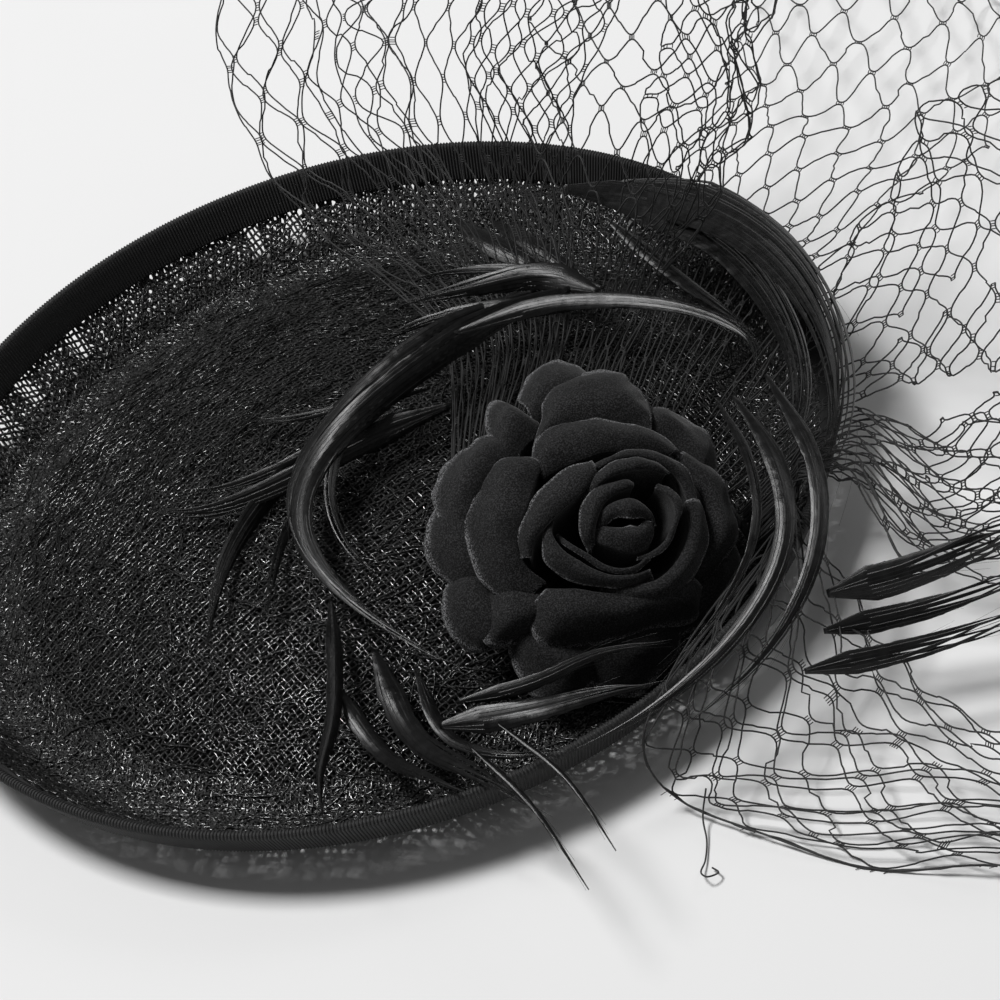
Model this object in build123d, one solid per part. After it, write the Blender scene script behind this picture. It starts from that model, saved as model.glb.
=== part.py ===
"""Fascinator headpiece: straw saucer, rose, feathers, gathered veil and two hair clips.

Frame: millimetres, +Z up. The origin is the centre of the flat ring that the saucer rests on, so
Z = 0 is the surface that it stands on. +X is the wearer's side that carries the rose.
"""
from build123d import *
import math
import os

# ---------------------------------------------------------------- driving dimensions
# Saucer
STRAW_THICKNESS = 1.2
CROWN_HEIGHT = 24.8          # underside of the dome above the resting ring, at the middle
RING_INNER_RADIUS = 108.0    # the flat ring that the saucer rests on
RING_OUTER_RADIUS = 117.0
WALL_BEND = (129.0, 11.0)    # radius and height where the wall turns steeper
WALL_TOP = (133.2, 20.3)     # radius and height of the straw's cut edge
LINING_THICKNESS = 0.5
LINING_GAP = 0.1
LINING_RADIUS = 100.0
WIRE_RADIUS = 0.6
RIBBON_THICKNESS = 0.4
RIBBON_LEG = 10.0            # ribbon on each face of the wall
RIBBON_INSIDE = 0.78         # half the space inside the folded ribbon

# Rose
ROSE_CENTRE = (50.0, -64.0)
ROSE_BASE_HEIGHT = 16.0
ROSE_TILT = 30.0             # degrees from upright
ROSE_TILT_HEADING = -65.0    # degrees, the way it leans in plan
PETAL_THICKNESS = 0.8
PETAL_GAP_ANGLE = 4.0
FELT_RADIUS = 22.0
FELT_THICKNESS = 1.5

# Feathers and veil
FEATHER_THICKNESS = 0.6
BLADE_LEAST_SHARE = 0.12     # a blade's end widths as shares of its widest
VEIL_THICKNESS = 0.6
GATHER_RADIUS = 44.0         # from the rose's centre, in plan
GATHER_THICKNESS = 1.6
GATHER_LIFT = 1.5            # from the straw to the gathered header
GATHER_DEPTH = 4.5
NET_LIFT = 7.0               # from the straw to where the net leaves the header

# Hair clips, in each clip's own frame: x along the clip, y across it, z down towards the head
CLIP_OFFSET = 60.0           # from the middle of the saucer
PAD_SIZE = (52.0, 14.0, 1.0)
PAD_DEPTH = 1.5              # from the lining to the pad's near face
LEAF_LENGTH = 50.0
LEAF_WIDTH = 9.0
LEAF_THICKNESS = 0.6
LEAF_DEPTH = PAD_DEPTH + PAD_SIZE[2] + 0.05
PIN_X = -10.0
PIN_DEPTH = LEAF_DEPTH + 3.6
PIN_RADIUS = 0.8
PIN_CLEARANCE = 0.05
EAR_WIDTH = 0.6
LEVER_WIDTH = 6.6
LEVER_THICKNESS = 0.7
HUB_RADIUS = 1.8
HUB_WIDTH = 1.2
SPRING_RADII = (1.0, 1.7)
SPRING_WIDTH = 3.6
SPRING_WIRE = 0.6
SPRING_LEG = 7.0
SPRING_CLEARANCE = 0.1       # from the coil to the lever's round pocket
EAR_LENGTH = 5.0
EAR_OVER_PIN = 1.8           # from the pin's middle to the ear's free edge
LEAF_CLEARANCE = 0.05        # from the fixed leaf to what lies on it
JAW_GAP = 0.3                # between the closed jaws
STITCH_BARS = (-21.5, -18.2, 4.0, 11.0)
STITCH_SIZE = (0.5, 0.4)     # along the clip, and thick
STITCH_OVERHANG = 0.9        # how much wider than the leaf
CUT_SPARE = 1.0              # how far a cutting tool runs past each face

# Worked out from the dimensions above
DOME_RADIUS = (RING_INNER_RADIUS**2 + CROWN_HEIGHT**2) / (2 * CROWN_HEIGHT)
DOME_CENTRE_Z = CROWN_HEIGHT - DOME_RADIUS

os.makedirs("parts", exist_ok=True)


# ---------------------------------------------------------------- helpers
def save(node, shape):
    """Write one node, a solid or a group of separate solids."""
    export_step(shape, f"parts/{node}.step")
    print(f"{node}: {shape.volume:.0f} mm3")


def ring_of(profile, angle=360.0):
    """Turn a profile drawn as (radius, height) about the saucer's axis."""
    return revolve(Plane.XZ * profile, Axis.Z, angle)


def straw_top(radius):
    """Height of the straw's upper surface at a distance from the middle."""
    if radius <= RING_INNER_RADIUS:
        outer = DOME_RADIUS + STRAW_THICKNESS
        return DOME_CENTRE_Z + math.sqrt(outer**2 - radius**2)
    if radius <= RING_OUTER_RADIUS:
        return STRAW_THICKNESS
    slope = WALL_BEND[1] / (WALL_BEND[0] - RING_OUTER_RADIUS)
    return STRAW_THICKNESS * math.hypot(1, slope) + (radius - RING_OUTER_RADIUS) * slope


def catmull(points, t):
    """Point at t from 0 to 1 on a smooth line through the points."""
    last = len(points) - 1
    place = min(max(t, 0.0), 1.0) * last
    i = min(int(place), last - 1)
    f = place - i
    p1, p2 = Vector(points[i]), Vector(points[i + 1])
    p0 = Vector(points[i - 1]) if i > 0 else p1 * 2 - p2
    p3 = Vector(points[i + 2]) if i + 2 <= last else p2 * 2 - p1
    return (
        p1 * 2
        + (p2 - p0) * f
        + (p0 * 2 - p1 * 5 + p2 * 4 - p3) * f**2
        + (p1 * 3 - p0 - p2 * 3 + p3) * f**3
    ) * 0.5


def sheet_solid(grid, thickness):
    """Closed solid of even thickness about a grid of points, built from flat triangles."""
    rows, cols = len(grid), len(grid[0])

    def normal(i, j):
        along = grid[min(i + 1, rows - 1)][j] - grid[max(i - 1, 0)][j]
        across = grid[i][min(j + 1, cols - 1)] - grid[i][max(j - 1, 0)]
        return along.cross(across).normalized()

    offsets = [[normal(i, j) * (thickness / 2) for j in range(cols)] for i in range(rows)]
    upper = [[grid[i][j] + offsets[i][j] for j in range(cols)] for i in range(rows)]
    lower = [[grid[i][j] - offsets[i][j] for j in range(cols)] for i in range(rows)]
    faces = []

    def triangle(a, b, c):
        faces.append(Face(Wire.make_polygon([a, b, c], close=True)))

    def quad(a, b, c, d):
        triangle(a, b, c)
        triangle(a, c, d)

    for i in range(rows - 1):
        for j in range(cols - 1):
            quad(upper[i][j], upper[i + 1][j], upper[i + 1][j + 1], upper[i][j + 1])
            quad(lower[i][j], lower[i][j + 1], lower[i + 1][j + 1], lower[i + 1][j])
    edge = [(i, 0) for i in range(rows)] + [(rows - 1, j) for j in range(1, cols)]
    edge += [(i, cols - 1) for i in range(rows - 2, -1, -1)] + [(0, j) for j in range(cols - 2, 0, -1)]
    for k, (i, j) in enumerate(edge):
        m, n = edge[(k + 1) % len(edge)]
        quad(upper[i][j], lower[i][j], lower[m][n], upper[m][n])
    solid = Solid(Shell(faces))
    return solid if solid.volume > 0 else Solid(Shell([-face for face in faces]))


# ---------------------------------------------------------------- saucer
def straw_base():
    """The blocked straw: dome, resting ring, flared wall and steeper rim."""
    middle = RING_INNER_RADIUS / 2
    arch = DOME_CENTRE_Z + math.sqrt(DOME_RADIUS**2 - middle**2)
    underside = Wire(
        [
            ThreePointArc((0, CROWN_HEIGHT), (middle, arch), (RING_INNER_RADIUS, 0)).edge(),
            *Polyline(
                (RING_INNER_RADIUS, 0), (RING_OUTER_RADIUS, 0), WALL_BEND, WALL_TOP
            ).edges(),
        ]
    )
    profile = make_face(offset(underside, STRAW_THICKNESS, side=Side.LEFT, kind=Kind.INTERSECTION))
    return ring_of(profile)


def crown_lining():
    """Thin cap of lining just under the dome."""
    outer = DOME_RADIUS - LINING_GAP
    cap = Sphere(outer) - Sphere(outer - LINING_THICKNESS)
    column = Pos(0, 0, DOME_RADIUS) * Cylinder(LINING_RADIUS, DOME_RADIUS)
    return Pos(0, 0, DOME_CENTRE_Z) * (cap & column)


def rim_frame():
    """Frame at the wire's centre: y runs up the steep part of the wall."""
    lean = math.degrees(
        math.atan2(WALL_TOP[0] - WALL_BEND[0], WALL_TOP[1] - WALL_BEND[1])
    )
    along = Vector(math.sin(math.radians(lean)), math.cos(math.radians(lean)))
    outward = Vector(-along.Y, along.X) * (STRAW_THICKNESS / 2)
    centre = Vector(*WALL_TOP) + outward + along * (WIRE_RADIUS + 0.05)
    return Pos(centre.X, centre.Y) * Rot(0, 0, -lean)


def folded_section(half_width, leg):
    """A strip with a round head at the origin and its open foot at -leg."""
    return Circle(half_width) + Pos(0, -leg / 2) * Rectangle(2 * half_width, leg)


def rim_ribbon():
    """Grosgrain folded over the wire and both faces of the wall."""
    outer = folded_section(RIBBON_INSIDE + RIBBON_THICKNESS, RIBBON_LEG)
    inner = folded_section(RIBBON_INSIDE, RIBBON_LEG + 1)
    return ring_of(rim_frame() * (outer - inner))


def rim_wire():
    """The wire that keeps the rim round."""
    return ring_of(rim_frame() * Circle(WIRE_RADIUS))


# ---------------------------------------------------------------- rose
def rose_plane():
    """Plane at the foot of the rose, its normal along the flower."""
    tilt, heading = math.radians(ROSE_TILT), math.radians(ROSE_TILT_HEADING)
    lean = (math.cos(heading) * math.sin(tilt), math.sin(heading) * math.sin(tilt), math.cos(tilt))
    side = (-math.sin(heading), math.cos(heading), 0)
    return Plane(origin=(*ROSE_CENTRE, ROSE_BASE_HEIGHT), x_dir=side, z_dir=lean)


def felt_disc():
    """Felt round, laid on the dome under the rose."""
    foot = Vector(*ROSE_CENTRE, 0)
    outer = DOME_RADIUS + STRAW_THICKNESS
    up = Vector(foot.X, foot.Y, math.sqrt(outer**2 - foot.length**2)).normalized()
    touch = Vector(0, 0, DOME_CENTRE_Z) + up * (outer + 0.05)
    plane = Plane(origin=touch, z_dir=up)
    return plane.location * Pos(0, 0, FELT_THICKNESS / 2) * Cylinder(FELT_RADIUS, FELT_THICKNESS)


def petal(profile, start, sweep, reach):
    """One cupped petal: a section of (radius, height) turned part of the way round.

    reach draws the section in towards its foot, for the petals on the low side.
    """
    foot = profile[0][0]
    points = [Vector(foot + (r - foot) * reach, h) for r, h in profile]
    tangents = [
        (points[min(i + 1, len(points) - 1)] - points[max(i - 1, 0)]).normalized()
        for i in range(len(points))
    ]
    shifted = [
        p + Vector(-t.Y, t.X) * PETAL_THICKNESS for p, t in zip(points, tangents)
    ]
    inside, outside = Spline(*points), Spline(*shifted)
    section = make_face(
        [inside.edge(), outside.edge(), Line(points[0], shifted[0]).edge(),
         Line(points[-1], shifted[-1]).edge()]
    )
    return Rot(0, 0, start) * ring_of(section, sweep)


# Each ring of petals: how many, where the first begins, and its section from foot to lip
PETAL_RINGS = {
    "inner": (3, 20.0, [(9, 9), (11.5, 16), (13, 24), (15, 31), (18, 34)]),
    "mid": (5, 50.0, [(12.5, 8.5), (20, 13), (26, 21), (28, 29), (32, 33), (36, 31)]),
    "outer": (7, 8.0, [(12, 5.5), (25, 7.5), (36, 13), (42, 20), (46, 23), (49, 21)]),
}
BUD_SECTION = [(6.5, 7), (7.5, 16), (6, 26), (2.5, 33)]
OUTER_DRAW_IN = 0.26         # how much shorter the outer petals are on the rim's side
CALYX_RADII = (5.0, 10.0)
CALYX_HEIGHT = 4.8


def rose_nodes():
    """Every piece of the rose by name, in the object's frame."""
    place = rose_plane().location
    bud_line = Spline(*BUD_SECTION, (0, 35))
    bud = make_face(
        [bud_line.edge(), Line((0, 35), (0, 7)).edge(), Line((0, 7), BUD_SECTION[0]).edge()]
    )
    calyx = Pos(0, 0, CALYX_HEIGHT / 2) * Cone(*CALYX_RADII, CALYX_HEIGHT)
    nodes = {"rose_calyx": place * calyx, "rose_bud": place * ring_of(bud)}
    for ring, (count, first, profile) in PETAL_RINGS.items():
        share = 360 / count
        for k in range(count):
            start, sweep = first + k * share, share - PETAL_GAP_ANGLE
            low_side = max(0.0, -math.sin(math.radians(start + sweep / 2)))
            reach = 1 - OUTER_DRAW_IN * low_side if ring == "outer" else 1
            shape = petal(profile, start, sweep, reach)
            nodes[f"rose_petal_{ring}_{k + 1}"] = place * shape
    return nodes


# ---------------------------------------------------------------- feathers
def blade(points, width, turn=0.0, stations=11):
    """A tapered feather along a smooth line; turn leans its face from level, in degrees."""
    grid = []
    for k in range(stations):
        t = k / (stations - 1)
        centre = catmull(points, t)
        ahead = (catmull(points, min(t + 0.02, 1)) - catmull(points, max(t - 0.02, 0))).normalized()
        level = ahead.cross(Vector(0, 0, 1)).normalized()
        lean = math.radians(turn)
        side = level * math.cos(lean) + level.cross(ahead) * math.sin(lean)
        swell = math.sin(math.pi * (0.12 + 0.83 * t)) ** 0.7
        half = width / 2 * max(swell, BLADE_LEAST_SHARE)
        grid.append([centre - side * half, centre, centre + side * half])
    return sheet_solid(grid, FEATHER_THICKNESS)


# Each node: its blades as (points along the spine, width, turn)
FEATHERS = {
    "feather_big_twist": [
        ([(71, 20, 38), (53, 15, 43), (34, 5, 45), (12, -3, 43), (-14, -20, 39), (-20, -38, 35),
          (-12, -62, 31), (2, -84, 28), (16, -100, 25)], 8, 20),
    ],
    "feather_top_left": [([(78, 18, 36), (65, 30, 38), (45, 34, 38), (22, 43, 35)], 8, 0)],
    "feather_left_tip": [
        ([(30, -8, 36), (6, -8, 34), (-21, -11, 31), (-44, -8, 28), (-62, 6, 26)], 7, 0),
    ],
    "feather_left_down": [([(-8, 4, 29), (-30, -14, 27), (-43, -32, 25), (-53, -61, 23)], 6, 0)],
    "feather_cross_ribbon": [
        ([(-16, -54, 25), (-19, -72, 23), (-24, -95, 22), (-31, -114, 24), (-32, -139, 25)], 5, 0),
    ],
    "feather_lower": [
        ([(-9, -72, 20), (-6, -104, 18), (6, -128, 24), (22, -154, 27)], 7, 0),
        ([(-22, -76, 19), (-15, -104, 16), (-4, -126, 24), (9, -143, 27)], 5, 0),
    ],
    "feather_under_rose": [([(2, -110, 24), (24, -116, 25), (44, -117, 24), (60, -121, 25)], 7, 15)],
    "feather_right_arc": [
        ([(100, -52, 46), (104, -80, 45), (98, -106, 41), (78, -124, 34), (50, -134, 28),
          (29, -136, 27)], 5, 40),
        ([(110, -48, 46), (113, -84, 44), (103, -112, 38), (83, -131, 32), (60, -141, 29)], 5, 30),
    ],
    "feather_crescent": [
        ([(95, 62, 34), (114, 34, 40), (127, 2, 42), (130, -38, 43), (122, -70, 40),
          (106, -88, 38)], 18, 25),
    ],
    "feather_tail_upper": [([(104, -116, 31), (122, -121, 34), (140, -125, 39), (162, -130, 46)], 8, 0)],
    "feather_tail_lower": [
        ([(100, -124, 27), (118, -127, 27), (134, -130, 29), (158, -134, 35)], 6, 0),
        ([(92, -133, 25), (108, -136, 25), (128, -139, 26), (154, -142, 30)], 6, 0),
    ],
    "feather_over_rose": [
        ([(37, 2, 51), (64, -6, 57), (93, -22, 57), (110, -38, 52), (106, -56, 55)], 5, 10),
    ],
    "feather_top_bunch": [([(48, 86, 23), (56, 66, 24), (68, 48, 22), (78, 32, 18)], 8, 0)],
    "feather_long_curve": [([(88, 52, 32), (100, 22, 29), (110, -8, 33), (112, -26, 40)], 5, 0)],
    "feather_quills": [
        ([(8, -126, 30), (18, -150, 29), (25, -180, 27)], 2, 0),
        ([(16, -122, 31), (28, -146, 30), (34, -172, 28)], 2, 0),
    ],
}

# ---------------------------------------------------------------- veil
# Each length of net: the headings of its two ends at the header, then rows of points from the
# header out to the free edge
VEIL = {
    "veil_back_left": ((125, 97), [
        [(33, 34, 27), (42, 32, 28), (50, 30, 27), (57, 29, 27), (64, 28, 26)],
        [(10, 75, 38), (28, 66, 46), (44, 66, 49), (58, 64, 48), (70, 60, 45)],
        [(-4, 114, 60), (18, 98, 72), (40, 101, 72), (59, 86, 78), (77, 76, 72)],
        [(0, 152, 85), (26, 130, 97), (50, 127, 95), (74, 102, 105), (96, 88, 100)],
    ]),
    "veil_back_mid": ((94, 70), [
        [(67, 27, 25), (75, 25, 24), (83, 23, 24), (90, 20, 24)],
        [(76, 60, 48), (91, 42, 58), (105, 22, 62), (113, 14, 54)],
        [(88, 70, 75), (103, 42, 92), (119, 14, 100), (129, 6, 88)],
        [(102, 80, 105), (116, 42, 126), (133, 22, 131), (144, 14, 120)],
    ]),
    "veil_far": ((66, 45), [
        [(94, 26, 22), (102, 20, 22), (110, 13, 22), (116, 4, 22)],
        [(112, 66, 31), (130, 50, 31), (144, 30, 31), (150, 12, 30)],
        [(138, 112, 20), (162, 95, 20), (184, 74, 18), (202, 50, 14)],
        [(158, 182, 6), (190, 166, 9), (218, 142, 7), (240, 112, 5)],
    ]),
    "veil_right_fold": ((40, 20), [
        [(132, 4, 27), (134, -14, 27), (134, -30, 27), (131, -44, 27)],
        [(152, -8, 54), (158, -22, 50), (156, -38, 44), (149, -54, 37)],
        [(168, -16, 84), (176, -34, 74), (173, -52, 60), (162, -66, 46)],
        [(190, -32, 100), (198, -46, 84), (196, -64, 66), (184, -78, 50)],
    ]),
    "veil_right_ruffle": ((14, 4), [
        [(127, -50, 29), (126, -57, 29), (124, -64, 29), (121, -71, 29)],
        [(138, -80, 42), (138, -90, 38), (134, -100, 32), (127, -106, 25)],
        [(154, -96, 58), (158, -106, 48), (155, -116, 38), (147, -122, 25)],
        [(172, -110, 68), (178, -122, 56), (177, -134, 42), (168, -142, 25)],
    ]),
    "veil_front_right": ((1, -8), [
        [(106, -73, 24), (106, -77, 25), (105, -81, 26), (103, -86, 27)],
        [(104, -95, 28), (95, -105, 29), (81, -114, 29), (65, -121, 29)],
        [(112, -128, 17), (101, -136, 13), (82, -142, 10), (58, -144, 8)],
        [(127, -158, 13), (119, -166, 8), (102, -170, 4), (82, -169, 3)],
        [(148, -176, 14), (142, -188, 8), (132, -196, 3), (119, -195, 3)],
    ]),
}
VEIL_ROWS = 9
VEIL_COLUMNS = 7


def header_point(heading, lift):
    """A point on the stitched header, at a height above the straw."""
    angle = math.radians(heading)
    x = ROSE_CENTRE[0] + GATHER_RADIUS * math.cos(angle)
    y = ROSE_CENTRE[1] + GATHER_RADIUS * math.sin(angle)
    return Vector(x, y, straw_top(math.hypot(x, y)) + lift)


def veil_length(headings, rows):
    """One length of net as a thin closed shell."""
    first, last = headings
    count = len(rows[0])
    header = [
        header_point(first + (last - first) * k / (count - 1), NET_LIFT)
        for k in range(count)
    ]
    lines = [header] + rows
    grid = []
    for i in range(VEIL_ROWS):
        v = i / (VEIL_ROWS - 1)
        grid.append(
            [
                catmull([catmull(line, j / (VEIL_COLUMNS - 1)) for line in lines], v)
                for j in range(VEIL_COLUMNS)
            ]
        )
    return sheet_solid(grid, VEIL_THICKNESS)


def veil_gather(stations=13):
    """The gathered header: an upright band round the back and right of the rose."""
    first, last = VEIL["veil_back_left"][0][0], VEIL["veil_front_right"][0][1]
    grid = []
    for k in range(stations):
        heading = first + (last - first) * k / (stations - 1)
        low = header_point(heading, GATHER_LIFT)
        grid.append([low, low + Vector(0, 0, GATHER_DEPTH)])
    return sheet_solid(grid, GATHER_THICKNESS)


# ---------------------------------------------------------------- hair clips
def clip_plane(side):
    """Frame of one clip: origin on the lining, x forwards, z down towards the head."""
    inner = DOME_RADIUS - LINING_GAP - LINING_THICKNESS
    angle = math.asin(CLIP_OFFSET / inner)
    down = Vector(-side * math.sin(angle), 0, -math.cos(angle))
    origin = Vector(0, 0, DOME_CENTRE_Z) - down * inner
    return Plane(origin=origin, x_dir=(0, 1, 0), z_dir=down)


def plate(x0, x1, width, depth, thickness):
    """A flat plate between two x positions, centred across the clip."""
    return Pos((x0 + x1) / 2, 0, depth + thickness / 2) * Box(x1 - x0, width, thickness)


def across(radius, width):
    """A round bar across the clip at the pin."""
    return Pos(PIN_X, 0, PIN_DEPTH) * Rot(90, 0, 0) * Cylinder(radius, width)


def clip_leaf():
    """Fixed leaf with two ears that hold the pin."""
    leaf = plate(-LEAF_LENGTH / 2, LEAF_LENGTH / 2, LEAF_WIDTH, LEAF_DEPTH, LEAF_THICKNESS)
    height = PIN_DEPTH + EAR_OVER_PIN - LEAF_DEPTH
    for sign in (-1, 1):
        ear = Pos(PIN_X, sign * (LEAF_WIDTH - EAR_WIDTH) / 2, LEAF_DEPTH + height / 2)
        leaf += ear * Box(EAR_LENGTH, EAR_WIDTH, height)
    return leaf - across(PIN_RADIUS + PIN_CLEARANCE, LEAF_WIDTH + 2 * CUT_SPARE)


def clip_lever():
    """Moving leaf: bowed jaw, two hubs on the pin, and the thumb end."""
    near_face = LEAF_DEPTH + LEAF_THICKNESS + JAW_GAP
    over_pin = PIN_DEPTH + HUB_RADIUS - LEVER_THICKNESS / 2
    inner_line = [
        (LEAF_LENGTH / 2 - 0.5, near_face),
        (LEAF_LENGTH / 2 - 5.0, near_face + 0.2),
        (7.0, over_pin - 0.9),
        (PIN_X + 3.0, over_pin),
        (PIN_X - 3.0, over_pin),
        (-LEAF_LENGTH / 2 + 1.0, over_pin + 4.0),
    ]
    outer_line = [(x, depth + LEVER_THICKNESS) for x, depth in inner_line]
    section = make_face(Polyline(*inner_line, *reversed(outer_line), close=True))
    lever = extrude(Plane.XZ * section, LEVER_WIDTH / 2, both=True)
    for sign in (-1, 1):
        hub_place = Pos(0, sign * (LEVER_WIDTH - HUB_WIDTH) / 2, 0)
        lever += hub_place * across(HUB_RADIUS, HUB_WIDTH)
    lever -= across(PIN_RADIUS + PIN_CLEARANCE, LEVER_WIDTH + 2 * CUT_SPARE)
    return lever - across(SPRING_RADII[1] + SPRING_CLEARANCE, LEVER_WIDTH - 2 * HUB_WIDTH)


def clip_pin():
    """The pin, flush with the ears."""
    return across(PIN_RADIUS, LEAF_WIDTH)


def clip_spring():
    """Coil round the pin with one leg along the fixed leaf."""
    coil = across(SPRING_RADII[1], SPRING_WIDTH)
    coil -= across(SPRING_RADII[0], SPRING_WIDTH + 2 * CUT_SPARE)
    near, far = LEAF_DEPTH + LEAF_THICKNESS + LEAF_CLEARANCE, PIN_DEPTH - SPRING_RADII[0] - 0.1
    side = (SPRING_WIDTH - SPRING_WIRE) / 2
    leg = Pos(PIN_X - SPRING_LEG / 2, side, near + SPRING_WIRE / 2)
    riser = Pos(PIN_X, side, (near + far) / 2)
    coil += leg * Box(SPRING_LEG, SPRING_WIRE, SPRING_WIRE)
    return coil + riser * Box(SPRING_WIRE, SPRING_WIRE, far - near)


def clip_stitch_bars():
    """Thread bars over the fixed leaf, down to the pad on both sides."""
    bars = []
    along, thick = STITCH_SIZE
    low = PAD_DEPTH + PAD_SIZE[2] + 0.02
    top = LEAF_DEPTH + LEAF_THICKNESS + LEAF_CLEARANCE
    high = top + thick
    span = LEAF_WIDTH + STITCH_OVERHANG
    for x in STITCH_BARS:
        bar = Pos(x, 0, top + thick / 2) * Box(along, span, thick)
        for sign in (-1, 1):
            foot = Pos(x, sign * (span - thick) / 2, (low + high) / 2)
            bar += foot * Box(along, thick, high - low)
        bars.append(bar)
    return bars


# ---------------------------------------------------------------- build
save("straw_base", straw_base())
save("crown_lining", crown_lining())
save("rim_ribbon", rim_ribbon())
save("rim_wire", rim_wire())
save("felt_disc", felt_disc())
for name, shape in rose_nodes().items():
    save(name, shape)
for name, blades in FEATHERS.items():
    solids = [blade(*b) for b in blades]
    save(name, solids[0] if len(solids) == 1 else Compound(solids))
save("veil_gather", veil_gather())
for name, (headings, rows) in VEIL.items():
    save(name, veil_length(headings, rows))

pads, stitches = [], []
for name, side in (("left", -1), ("right", 1)):
    place = clip_plane(side).location
    save(f"clip_{name}_leaf", place * clip_leaf())
    save(f"clip_{name}_lever", place * clip_lever())
    save(f"clip_{name}_pin", place * clip_pin())
    save(f"clip_{name}_spring", place * clip_spring())
    pads.append(place * plate(-PAD_SIZE[0] / 2, PAD_SIZE[0] / 2, PAD_SIZE[1], PAD_DEPTH, PAD_SIZE[2]))
    stitches += [place * bar for bar in clip_stitch_bars()]
    hinge = place * Pos(PIN_X, 0, PIN_DEPTH)
    print(f"clip_{name} hinge at {hinge.position}, across {place.orientation}")
save("clip_pads", Compound(pads))
save("clip_stitches", Compound(stitches))
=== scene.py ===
"""Looks of the fascinator headpiece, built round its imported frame.

The tables of the classes are in millimetres, and MM turns them into Blender's metres.
"""

import logging
import math
from collections.abc import Callable, Sequence
from dataclasses import dataclass, field
from enum import Enum

import bpy
import numpy as np
from mathutils import Matrix, Vector

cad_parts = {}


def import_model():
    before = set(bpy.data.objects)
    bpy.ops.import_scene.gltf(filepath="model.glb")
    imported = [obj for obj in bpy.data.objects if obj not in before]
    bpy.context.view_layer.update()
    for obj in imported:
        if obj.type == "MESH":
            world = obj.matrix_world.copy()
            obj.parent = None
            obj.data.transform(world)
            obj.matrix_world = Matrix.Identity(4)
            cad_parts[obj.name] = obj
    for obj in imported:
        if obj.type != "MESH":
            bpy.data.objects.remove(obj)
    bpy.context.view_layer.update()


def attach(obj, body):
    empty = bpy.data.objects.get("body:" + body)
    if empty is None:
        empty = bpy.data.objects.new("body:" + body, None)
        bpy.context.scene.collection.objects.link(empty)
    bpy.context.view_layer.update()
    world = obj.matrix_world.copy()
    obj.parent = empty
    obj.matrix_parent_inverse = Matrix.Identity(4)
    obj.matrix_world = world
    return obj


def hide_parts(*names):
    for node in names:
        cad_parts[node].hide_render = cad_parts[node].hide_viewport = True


MM = 0.001
TURN = 2 * math.pi
BODY = "headpiece"
log = logging.getLogger("fascinator")
Array = np.ndarray
Triple = tuple[float, float, float]
Thing = bpy.types.Object
Finish = bpy.types.Material
Socket = bpy.types.NodeSocket
Dice = np.random.Generator
Frames = tuple[Array, Array, Array]         # points, side directions and face directions
Spacing = tuple[Array, Array]               # distances down and along a lattice
Surface = Callable[[Array, Array], Array]   # points at rows and steps of a lattice


# ------------------------------------------------------------------ geometry helpers
def catmull(rows: Array, places: Array) -> Array:
    """Points on a smooth line through rows of numbers.

    Args:
        rows: the points to pass through, one per row, of any shape beyond that.
        places: how far along the line each wanted point is, from 0 to 1.

    Returns:
        One point per place.
    """
    rows = np.asarray(rows, float)
    padded = np.concatenate([[2 * rows[0] - rows[1]], rows, [2 * rows[-1] - rows[-2]]])
    place = np.clip(places, 0, 1) * (len(rows) - 1)
    i = np.minimum(place.astype(int), len(rows) - 2)
    f = (place - i).reshape((-1,) + (1,) * (rows.ndim - 1))
    p0, p1, p2, p3 = (padded[i + k] for k in range(4))
    bend = (2 * p0 - 5 * p1 + 4 * p2 - p3) * f**2 + (3 * p1 - p0 - 3 * p2 + p3) * f**3
    return 0.5 * (2 * p1 + (p2 - p0) * f + bend)


def unit(vectors: Array) -> Array:
    """Each row at length one."""
    length = np.linalg.norm(vectors, axis=-1, keepdims=True)
    return vectors / np.maximum(length, 1e-12)


def even(path: Array, count: int) -> Array:
    """The path again, as `count` points spaced evenly along it."""
    steps = np.linalg.norm(np.diff(path, axis=0), axis=1)
    along = np.concatenate([[0.0], np.cumsum(steps)])
    wanted = np.linspace(0, along[-1], count)
    return np.stack([np.interp(wanted, along, path[:, k]) for k in range(path.shape[1])], 1)


def wander(points: Array, wavelength: float, reach: float, seed: int) -> Array:
    """Smooth, seeded offsets for a cloud of points.

    Args:
        points: where the offsets are wanted.
        wavelength: rough distance over which they change.
        reach: rough size of an offset.
        seed: picks the pattern.

    Returns:
        One offset vector per point.
    """
    rng = np.random.default_rng(seed)
    waves = 5
    directions = unit(rng.normal(size=(waves, 3))) * TURN / wavelength
    directions *= rng.uniform(0.6, 1.5, (waves, 1))
    phases = rng.uniform(0, TURN, (waves, 3))
    flat = points.reshape(-1, 3)
    turned = (flat @ directions.T)[:, :, None] + phases
    return (np.sin(turned).sum(1) * reach / math.sqrt(waves)).reshape(points.shape)


def grid_normals(grid: Array) -> Array:
    """Unit normals of a grid of points, rows by columns."""
    return unit(np.cross(np.gradient(grid, axis=0), np.gradient(grid, axis=1)))


def new_mesh(name: str, points: Array, faces: Sequence[Sequence[int]]) -> bpy.types.Object:
    """A smooth mesh object at the origin.

    Args:
        name: the piece's name.
        points: corners, in millimetres.
        faces: corner numbers of each face.

    Returns:
        The linked object.
    """
    mesh = bpy.data.meshes.new(name)
    mesh.from_pydata((np.asarray(points) * MM).tolist(), [], [list(f) for f in faces])
    mesh.shade_smooth()
    piece = bpy.data.objects.new(name, mesh)
    bpy.context.scene.collection.objects.link(piece)
    return piece


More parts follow.
